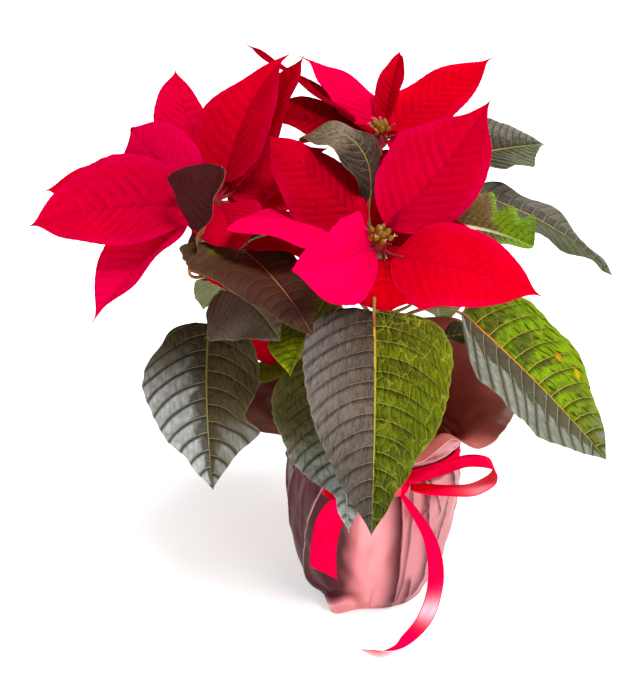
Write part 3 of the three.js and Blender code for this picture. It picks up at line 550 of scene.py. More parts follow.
# A bract's red goes from scarlet to magenta with its tone, which is partly its own pinker red and partly a
# painted sheen, and darkens with its shade, a painted shade for bracts that lie in the shade of others.
def bractMaterial():
    paint = Paint("bract_skin")
    m = veinMarks(paint, dict(veinWidth=0.075, ribWidth=0.1))
    flat, along, out = m["flat"], m["along"], m["out"]
    tone = (paint.attribute("tone") + m["wander"] * 0.25 + out.step(0.7, 1) * 0.4).clipped()
    dark = paint.attribute("shade")
    red = paint.coats(rgb(244, 0, 26), (tone, rgb(255, 0, 92)), (dark, rgb(120, 0, 16)))
    deep = paint.coats(rgb(178, 0, 22), (tone, rgb(206, 0, 60)), (dark, rgb(70, 0, 10)))
    between = (m["lane"] + m["wander"] * 0.1).rest()
    broad = paint.noise(flat, 0.55, 2).step(0.35, 0.65)
    fade = (1 - out ** 3) * (1 - along.step(0.35, 0.95) * 0.75) * (0.35 + broad * 0.65)
    # painted shade in the quilts between the side veins
    shade = (1 - between.step(0, 0.7)) * fade
    mottle = paint.noise(flat, 1.6, 4).step(0.48, 0.75)
    specks = (1 - paint.cells(flat, 9, "F1").step(0.05, 0.09)) * paint.noise(flat, 1.7).step(0.56, 0.66)
    tip = along.step(0.955, 0.992)
    # deep is a darker red: painted shade in the quilts and on one side of each cell, mottles that grow
    # darker with the painted shade, and the darker base, veins and midrib
    colour = paint.coats(
        red, ((1 - along.step(0, 0.45)) * (1 - out * 0.6) * 0.4, deep),
        (shade * (0.34 + dark * 1.8).clipped(), deep), (mottle * (0.16 + dark * 0.6), deep),
        ((m["lit"] * -1.0).clipped() * 0.25, deep),
        (m["line"] * (0.1 + dark).clipped() * 0.5 * fade, deep),
        (m["rib"] * 0.45 * (1 - along * 0.5), deep), (specks * 0.5, rgb(255, 110, 150)),
        (tip, rgb(70, 14, 20)))
    under = paint.mix(m["line"] * 0.6, paint.mix(dark, rgb(206, 4, 52), rgb(120, 0, 24)), rgb(232, 50, 90))
    colour = paint.mix(paint.attribute("upper"), under, colour)
    grain = paint.noise(flat, 30, 4)
    relief = m["pillow"].step(0, 0.4) * 0.5 - m["line"] * 0.3 + grain * 0.08
    bump = paint.bump(relief, 0.0006, 0.45)
    skin = paint.surface(colour, 0.5 + grain * 0.14, bump, 0)
    glow = (0.36 - shade * 0.12 - m["rib"] * 0.1 - tip * 0.3 - dark * 0.14).clipped()
    return paint.finish(paint.blend(glow, skin, paint.through(rgb(255, 0, 40), bump)))


# Plant skin that goes from one colour to another in soft patches.
def stalkMaterial(name, colour, second):
    paint = Paint(name)
    place = paint.place()
    patch = paint.noise(place, 90, 4).step(0.35, 0.65)
    grain = paint.noise(place, 900, 3)
    colour = paint.mix(patch, colour, second)
    return paint.finish(paint.surface(colour, 0.42 + grain * 0.15, paint.bump(grain, 0.0002, 0.5), 0.1))


# Green shoots that turn woody below, set with pale pores.
def stemMaterial():
    paint = Paint("stem_skin")
    place = paint.place()
    height = paint.node("ShaderNodeSeparateXYZ", None, (place,), 2)
    patch = paint.noise(place, 60, 5)
    woody = 1 - (height + (patch - 0.5) * 0.05).step(0.13, 0.2)
    lenticels = 1 - paint.cells(paint.stretch(place, (1, 1, 0.5)), 420, "F1").step(0.1, 0.22)
    colour = paint.coats(rgb(96, 112, 44), (patch.step(0.35, 0.65), rgb(134, 140, 66)),
                         (woody, rgb(122, 98, 62)), (lenticels * 0.6, rgb(168, 148, 104)))
    bark = paint.noise(paint.stretch(place, (1, 1, 0.2)), 700, 4)
    bump = paint.bump(bark + lenticels * 0.5, 0.0003, 0.6)
    return paint.finish(paint.surface(colour, 0.5 + bark * 0.25, bump))


# Flower cups: olive at the foot, yellow above, with a reddish mouth.
def cupMaterial():
    paint = Paint("flower_cup")
    _, height, _ = paint.uv("spread")
    flat, _, _ = paint.uv("flat")
    patch = paint.noise(flat, 4, 4)
    level = height + (patch - 0.5) * 0.12
    colour = paint.ramp(level, (0, rgb(150, 116, 16)), (0.4, rgb(196, 150, 16)), (0.7, rgb(240, 190, 50)),
                        (0.86, rgb(220, 120, 40)), (0.96, rgb(180, 50, 40)))
    skin = paint.surface(colour, 0.34 + patch * 0.2, paint.bump(patch, 0.0002, 0.5))
    return paint.finish(paint.blend(0.25, skin, paint.through(rgb(240, 200, 40))))


# Styles are pink with paler patches.
def styleMaterial():
    paint = Paint("flower_style")
    place = paint.place()
    patch = paint.noise(place, 500, 3)
    colour = paint.mix(patch.step(0.4, 0.6), rgb(236, 120, 140), rgb(252, 206, 196))
    return paint.finish(paint.surface(colour, 0.4 + patch * 0.2))


# Metallised film with painted light: it is painted pale where it turns to the light and dark where it turns
# away, with painted shade on the folds' flanks and inside the collar and a painted highlight along its free
# edge; it is more metallic where the painted light falls, and its back is a plain brown.
def filmMaterial():
    paint = Paint("rose_film")
    place = paint.place()
    inside = paint.attribute("inside")
    cloud = paint.noise(place, 30, 4)
    fine = paint.noise(paint.stretch(place, (1, 1, 0.4)), 260, 5)
    # facing is painted light: pale where the wall turns to wrap's light, dark where it turns away
    facing = paint.attribute("facing") + (cloud - 0.5) * 0.06
    colour = paint.ramp(facing, (0, rgb(76, 24, 30)), (0.14, rgb(84, 32, 38)), (0.3, rgb(196, 112, 116)),
                        (0.42, rgb(234, 155, 158)), (0.62, rgb(200, 130, 134)), (1, rgb(188, 124, 128)))
    # creaseShade paints shade on the folds' flanks and inside the collar; seam paints a highlight along the
    # free edges
    colour = paint.coats(colour, (inside, rgb(186, 98, 90)), (paint.attribute("creaseShade"), rgb(74, 24, 30)),
                         (paint.attribute("seam") * 0.8, rgb(244, 196, 190)))
    bump = paint.bump(cloud * 0.7 + fine * 0.12, 0.0014, 0.5)
    shine = (facing.step(0.1, 0.4) * 0.5 + 0.1) * (1 - inside)
    return paint.finish(paint.surface(colour, 0.33 + fine * 0.1, bump, 0.12, Metallic=shine))


# Satin: close threads along the ribbon, a plain woven edge, and a painted pale highlight where glint says.
def ribbonMaterial():
    paint = Paint("red_satin")
    flat, length, across = paint.uv("flat")
    threads = paint.noise(paint.stretch(flat, (5, 200, 1)), 1, 2)
    cloud = paint.noise(paint.stretch(flat, (0.7, 1.6, 1)), 1, 3)
    edge = across.size().step(0.9, 0.94)
    ribs = (length * 60).maths("SINE", length * 60)
    # gloss is a painted highlight
    gloss = paint.attribute("glint") * (0.6 + cloud * 0.7) * (1 - edge)
    colour = paint.coats(rgb(232, 0, 54), (cloud.step(0.35, 0.65), rgb(248, 0, 74)),
                         (threads.step(0.5, 0.8) * 0.3, rgb(184, 0, 40)),
                         ((gloss * (0.75 + threads * 0.4)).clipped(), rgb(255, 206, 220)),
                         (edge * 0.35, rgb(190, 0, 44)))
    bump = paint.bump(threads * 0.5 + ribs * edge * 0.25, 0.0001, 0.6)
    return paint.finish(paint.surface(colour, 0.38 + edge * 0.25 + threads * 0.08, bump, 0))


# Matt moulded plastic with dust on it.
def potMaterial():
    paint = Paint("pot_plastic")
    place = paint.place()
    dust = paint.noise(place, 40, 5)
    grain = paint.noise(place, 1500, 2)
    colour = paint.mix(dust.step(0.5, 0.8) * 0.4, rgb(150, 78, 56), rgb(172, 118, 92))
    return paint.finish(paint.surface(colour, 0.5 + dust * 0.2, paint.bump(grain, 0.0001, 0.3)))


# Dark crumbs with a few white grains among them.
def soilMaterial():
    paint = Paint("potting_soil")
    place = paint.place()
    grain = paint.noise(place, 260, 6)
    crumbs = paint.cells(place, 330, "F1")
    bright = paint.cells(place, 150, "F1")
    colour = paint.ramp(grain, (0.3, rgb(26, 18, 13)), (0.55, rgb(54, 38, 27)), (0.75, rgb(84, 62, 44)))
    colour = paint.mix((1 - bright.step(0.06, 0.1)) * 0.8, colour, rgb(214, 206, 190))
    bump = paint.bump(grain + crumbs * 0.8, 0.002, 0.9)
    return paint.finish(paint.surface(colour, 0.82 + grain * 0.16, bump))


gap = 0.3  # clearance between pieces that touch
stalk = dict(radius=1.7, tip=1.0)
shootTaper = 0.8  # how thick a shoot still is at its hub
hubRadius = 6.4
flower = dict(cushion=3.5, cups=10, cup=2.9, length=7.6, spread=2.9, turn=2.4)
shoots = dict(
    front=dict(radius=3.2, points=((0, -2, 128), (1, -14, 185), (0, -30, 245), (-2, -42, 286))),
    left=dict(radius=3.2, points=((-2, 0, 128), (-32, 2, 182), (-84, -6, 252), (-118, -10, 311))),
    rear=dict(radius=3.2, points=((1, 3, 128), (4, 22, 190), (5, 46, 270), (4, 60, 344))),
    back=dict(radius=3, points=((-1, 2, 128), (-14, 38, 180), (-34, 74, 235), (-50, 98, 286))),
    low=dict(radius=2.4, points=((-2, 1, 128), (-40, 16, 160), (-76, 24, 194), (-98, 26, 232))))

# A blade is drawn on a midrib that leaves start at heading (from +X, turning left) and rise (above
# level), sinks by droop and swings by sway to the tip. roll and twist turn it about the midrib,
# fold lifts both halves and cup bends them back down. belly is where it is widest, a larger slim
# draws its ends in, and tail draws out its tip. quilt is how far the fields between veins swell.
# halves widens the left and right half, and each tooth is a side, a place along it and a size.
# tone turns a bract's red to magenta, partly a painted sheen, and shade paints it darker where it lies in
# shade.
bract = dict(droop=18, bend=1.3, sway=0, roll=0, twist=0, fold=10, cup=-12, wave=1.6, waves=2.2, phase=0,
             belly=0.38, slim=1.55, halves=(1, 1), teeth=(), thickness=0.36, tail=0.72, tailReach=0.09,
             toothReach=0.07, veins=13, veinSlant=0.5, veinArch=0.35, scallop=0.007, quilt=0.42, unrest=0.5,
             rib=0.7, tone=0.25, shade=0.3)
leaf = dict(bract, droop=26, fold=12, cup=-14, wave=2.4, waves=2.6, belly=0.36, slim=1.3, thickness=0.46,
            tail=0.35, veinSlant=0.1, veinArch=0.5, scallop=0.009, quilt=0.95, unrest=0.55, rib=1.0,
            look="plain")
# rows along and columns across, for the blades in view and for the rest
fineGrid = dict(leaf=(86, 52), bract=(66, 40))
coarseGrid = dict(leaf=(56, 32), bract=(40, 24))


# A blade's own sizes, which go over those of bract or leaf.
def shaped(start, heading, rise, length, width, **more):
    return dict(more, start=start, heading=heading, rise=rise, length=length, width=width)


blooms = [
    dict(name="front", fine=5, tiltFront=42, tiltRight=5, bracts=[
        shaped((9, -47, 279), -36, 1, 108, 63, droop=20, sway=12, roll=-48, fold=6, belly=0.35,
            teeth=((1, 0.18, 0.16), (1, 0.34, 0.12)), tone=0.12, shade=0.02),
        shaped((6, -38, 296), 43, 35, 118, 73, droop=-22, sway=-28, roll=-39, fold=16, belly=0.41,
            teeth=((-1, 0.52, 0.1), (-1, 0.86, -0.12), (1, 0.86, -0.1)), tone=0.35, shade=0.28),
        shaped((-5, -48, 285), -116, 0, 107, 60, droop=-8, sway=-9, roll=74, twist=10, fold=15, belly=0.41,
            teeth=((1, 0.2, 0.08), (1, 0.36, -0.08), (1, 0.49, -0.2), (1, 0.62, -0.2), (1, 0.76, -0.14)),
            tone=1.0, shade=0.0),
        shaped((-17, -43, 290), 201, 19, 98, 60, droop=24, sway=10, roll=14, fold=5, tone=0.85, shade=0.0),
        shaped((-10, -34, 296), 168, 44, 92, 72, droop=4, sway=7, roll=28, twist=6, fold=-4, belly=0.41,
            slim=1.7, tone=0.2, shade=0.55),
        shaped((3, -43, 276), -88, -33, 49, 80, droop=4, roll=-6, veins=7, tone=0, shade=0.3),
        shaped((3, -34, 284), -2, 0, 78, 64, droop=16, roll=-40, tone=0.1, shade=0.8),
        shaped((-13, -37, 286), 194, 8, 84, 48, droop=18, roll=14,
            teeth=((-1, 0.42, 0.22), (-1, 0.56, 0.36)), tone=0.4, shade=0.6),
        shaped((4, -45, 293), 20, 62, 24, 10, wave=0, tone=1, shade=0.6),
        shaped((-7, -49, 290), 220, 40, 30, 14, wave=0),
    ]),
    dict(name="left", fine=8, tiltFront=25, tiltRight=-15, bracts=[
        shaped((-127, -17, 308), 186, 3, 120, 76, droop=22, sway=-8, roll=46, twist=5, fold=22, belly=0.4,
            slim=1.7, tone=0.45, shade=0.3),
        shaped((-129, -1, 310), 168, 14, 124, 62, droop=32, sway=-4, roll=27, tone=0.25, shade=0.25),
        shaped((-134, -18, 298), 211, -33, 99, 68, droop=17, roll=11, twist=8, fold=34, belly=0.33,
            slim=1.8, tone=1, shade=0.2),
        shaped((-126, -20, 318), 152, 27, 82, 64, droop=-2, sway=-28, roll=56, fold=0, belly=0.5, slim=1,
            halves=(1, 0.85), tone=0.75, shade=0.2),
        shaped((-117, 4, 321), 126, 43, 116, 60, droop=7, sway=-24, roll=-12, twist=-12, fold=3,
            belly=0.38, slim=2, tone=0.55, shade=0.5),
        shaped((-110, -2, 322), 66, 60, 122, 74, droop=34, sway=-16, roll=2, twist=14, fold=20, belly=0.33,
            slim=1.6, tone=0.15, shade=0.24),
        shaped((-107, 2, 318), 26, 60, 108, 61, droop=8, sway=-4, roll=-6, fold=7, tone=0.05, shade=0.6),
        shaped((-112, -21, 310), -74, -13, 64, 52, droop=14, roll=-13, tone=0.3, shade=0.4),
        shaped((-106, -2, 313), 18, 30, 80, 50, droop=18, roll=-30,
            teeth=((1, 0.05, 0.3), (1, 0.16, 0.3))),
        shaped((-118, 4, 312), 92, 18, 94, 56, droop=30, roll=-4),
        shaped((-127, 2, 306), 146, -8, 86, 50, droop=30, roll=6),
        shaped((-106, -3, 308), 30, 6, 88, 54, droop=26, roll=-6),
        shaped((-125, -17, 315), 215, 40, 26, 12, wave=0),
    ]),
    dict(name="rear", fine=5, tiltFront=22, tiltRight=0, bracts=[
        shaped((10, 55, 353), 24, 34, 98, 63, droop=5, sway=-18, roll=-23, fold=2, tone=0.1, shade=0.12),
        shaped((6, 65, 354), 64, 58, 70, 24, droop=18, sway=10, fold=36, belly=0.42, tone=0.1, shade=0.48),
        shaped((-2, 56, 353), 108, 42, 95, 50, droop=21, sway=56, fold=0, belly=0.42, halves=(0.9, 1.15),
            tone=0.6, shade=0.15),
        shaped((-7, 60, 348), 188, 20, 86, 62, droop=20, sway=10, roll=25, fold=11, tone=0.1, shade=0.85),
        shaped((-4, 72, 353), 167, 35, 114, 54, droop=7, roll=-4, fold=4, tone=0.1, shade=0.9),
        shaped((5, 69, 350), 96, 14, 100, 60, droop=28),
        shaped((12, 64, 346), 50, 4, 92, 56, droop=26, roll=-6),
        shaped((-4, 70, 345), 138, 0, 96, 58, droop=26, roll=4),
        shaped((10, 54, 344), -22, 0, 80, 50, droop=26, roll=-20),
        shaped((5, 51, 338), -99, -58, 74, 50, droop=12, slim=1.2, tone=0.1, shade=0.85),
        shaped((-1, 52, 350), 230, 30, 26, 12, wave=0),
    ]),
    dict(name="back", fine=0, tiltFront=-30, tiltRight=-10, bracts=[
        shaped((-57, 95, 289), 200, 6, 88, 54, droop=26),
        shaped((-44, 91, 289), -44, 12, 46, 36, droop=20),
        shaped((-42, 98, 287), 8, 0, 86, 54, droop=26, roll=8),
        shaped((-47, 106, 285), 62, -6, 92, 58, droop=28, roll=8),
        shaped((-54, 106, 285), 112, -4, 96, 60, droop=30),
        shaped((-59, 101, 286), 158, 0, 90, 56, droop=28, roll=-8),
        shaped((-57, 96, 291), 170, 36, 28, 12, wave=0),
    ]),
    dict(name="low", fine=0, tiltFront=10, tiltRight=-25, bracts=[
        shaped((-105, 24, 233), 190, 38, 42, 34, droop=20, wave=0),
        shaped((-103, 31, 234), 140, 22, 46, 28, droop=20, wave=0),
        shaped((-96, 33, 233), 84, 16, 44, 27, droop=20, wave=0),
        shaped((-92, 28, 233), 22, 20, 46, 27, droop=20, wave=0),
        shaped((-93, 21, 232), -95, -4, 40, 28, droop=24, wave=0),
        shaped((-101, 20, 232), 238, -4, 44, 27, droop=22, wave=0),
        shaped((-92, 20, 228), -54, -54, 56, 56, droop=4, wave=0, tone=0.6, shade=0.1),
    ]),
]
leaves = dict(
    leaf_front=shaped((-6, -88, 251), -89, -48, 146, 99, look="front", shoot="front", at=0.72, droop=22,
        sway=-8, roll=6, fold=22, belly=0.27, slim=1.35, veins=14,
        teeth=((-1, 0.68, -0.08), (-1, 0.82, -0.08))),
    leaf_front_left=shaped((-31, -72, 209), -86, -37, 118, 90, look="frontLeft", shoot="front", at=0.34,
        droop=24, sway=4, roll=-6, fold=8, belly=0.24, slim=1.5, teeth=((1, 0.8, -0.16), (1, 0.58, 0.06))),
    leaf_left=shaped((-120, -35, 227), -95, -52, 118, 88, look="left", shoot="left", at=0.72, droop=18,
        sway=22, roll=-16, fold=24, belly=0.32, slim=1.4, veins=10,
        teeth=((-1, 0.6, -0.14), (-1, 0.7, 0.26), (1, 0.8, -0.1), (1, 0.13, -0.12))),
    leaf_right=shaped((60, -30, 234), 2, -42, 160, 92, look="right", shoot="front", at=0.58, droop=8,
        sway=-4, roll=-42, twist=-6, fold=18, belly=0.36, slim=1.45, veins=12,
        teeth=((1, 0.3, -0.12), (1, 0.52, -0.1))),
    leaf_over_left=shaped((-94, -40, 281), -60, -9, 108, 78, look="overLeft", shoot="left", at=0.8,
        droop=20, sway=-4, roll=2, twist=-24, fold=22, belly=0.24, slim=1, halves=(0.6, 1),
        teeth=((1, 0.1, 0.4), (1, 0.2, 0.34), (1, 0.29, 0.3), (1, 0.38, 0.44), (1, 0.48, 0.12),
        (-1, 0.06, 0.55))),
    leaf_under_left=shaped((-111, -22, 249), -57, 5, 90, 62, look="underLeft", shoot="left", at=0.62,
        droop=34, sway=-6, roll=-46, fold=9, belly=0.33, slim=1.25, halves=(1, 1.05),
        teeth=((1, 0.3, 0.2), (1, 0.44, 0.2))),
    leaf_inner_front=shaped((-33, -44, 255), -114, -22, 84, 76, look="inner", shoot="front", at=0.62,
        droop=14, sway=4, roll=-24, fold=24, belly=0.3, slim=1.2),
    leaf_upright_left=shaped((-129, -61, 276), -9, 67, 70, 58, look="upright", shoot="left", at=0.78,
        droop=-8, sway=14, roll=-30, fold=32, belly=0.69, slim=1.1, teeth=((-1, 0.67, 0.38),
        (-1, 0.75, 0.3), (-1, 0.83, 0.12), (-1, 0.3, -0.28), (-1, 0.22, -0.22), (-1, 0.14, -0.2),
        (1, 0.14, 0.3))),
    leaf_arched_middle=shaped((-6, 0, 310), 166, 100, 90, 58, look="arched", shoot="rear", at=0.66,
        droop=150, sway=-10, roll=10, fold=2, belly=0.45, slim=1.05),
    leaf_right_upper=shaped((67, 60, 331), 30, 8, 78, 64, look="greyRight", shoot="rear", at=0.84, droop=8,
        sway=-8, roll=-33, fold=22, belly=0.4, slim=2.1, wave=1,
        teeth=((1, 0.62, 0.16), (-1, 0.6, -0.1), (1, 0.38, -0.1))),
    leaf_right_middle=shaped((71, 28, 310), 5, -18, 132, 64, look="greyRight", shoot="rear", at=0.66,
        droop=28, roll=-20, fold=8, slim=1.45),
    leaf_right_lobed=shaped((46, -12, 293), -22, 0, 66, 59, look="lobed", shoot="front", at=0.84, droop=21,
        roll=-19, fold=26, belly=0.46, slim=1, halves=(1.1, 1), wave=0.8,
        teeth=((-1, 0.38, 0.2), (-1, 0.52, -0.42), (-1, 0.66, -0.06), (-1, 0.75, -0.24), (-1, 0.86, 0.2))),
    leaf_right_low=shaped((52, 18, 200), 0, 12, 66, 46, shoot="rear", at=0.3, droop=24),
    leaf_left_low=shaped((-44, -8, 180), 200, 12, 62, 58, look="lime", shoot="low", at=0.5, droop=18),
    leaf_young_middle=shaped((-67, 44, 318), 218, 44, 32, 18, shoot="back", at=0.9, droop=20, wave=0),
    leaf_back_right_high=shaped((42, 72, 260), 46, -3, 116, 70, shoot="rear", at=0.58, droop=44),
    leaf_back_right_low=shaped((34, 66, 214), 70, 0, 116, 72, shoot="rear", at=0.4, droop=56),
    leaf_back_middle=shaped((-16, 116, 248), 84, -6, 120, 74, shoot="back", at=0.76, droop=52),
    leaf_back_left=shaped((-80, 104, 228), 132, -4, 118, 72, shoot="back", at=0.62, droop=52),
    leaf_back_left_high=shaped((-98, 42, 270), 104, 0, 112, 68, shoot="left", at=0.78, droop=50))

# How each leaf looks: left and right are the halves' colours along the leaf, seen from above with the tip
# away; where one half faces the light and the other not, they paint that light and shade. leftShade and
# rightShade colour the painted shade, shade, cross and patchy set how much painted shade there is, and
# sheen, leftSheen and rightSheen paint a pale sheen. A row of a ramp is a place and red, green and blue out
# of 255, or a place and a grey.
plainLeaf = dict(left=((0, 40, 40, 20), (0.5, 66, 66, 34), (1, 84, 88, 50)),
    right=((0, 44, 50, 18), (0.5, 72, 82, 26), (1, 90, 100, 40)),
    leftVeins=((0, 104, 98, 54), (1, 130, 128, 84)), rightVeins=((0, 120, 124, 50), (1, 140, 146, 76)),
    leftShade=(26, 24, 14), rightShade=(26, 34, 6), shade=0.6, shadeReach=0.4, cloud=0.25,
    rib=((0, 160, 110, 60), (0.4, 154, 140, 70), (1, 140, 146, 80)), under=(112, 116, 72),
    underVeins=(156, 156, 104), veinWidth=0.045, ribWidth=0.11, line=0.7, net=(0.2, 0.2), edge=0.35,
    lean=0, patch=(40, 40, 16), patchy=(0, 0), cross=(1.2, 1.2), sheen=(186, 192, 190), sheenFrom=0.3,
    sheenSoft=0.03, leftSheen=((0, 0),), rightSheen=((0, 0),), spots=(), rough=0.42, gloss=0.06,
    relief=0.8, glow=(0.05, 0.16), through=(150, 180, 10))
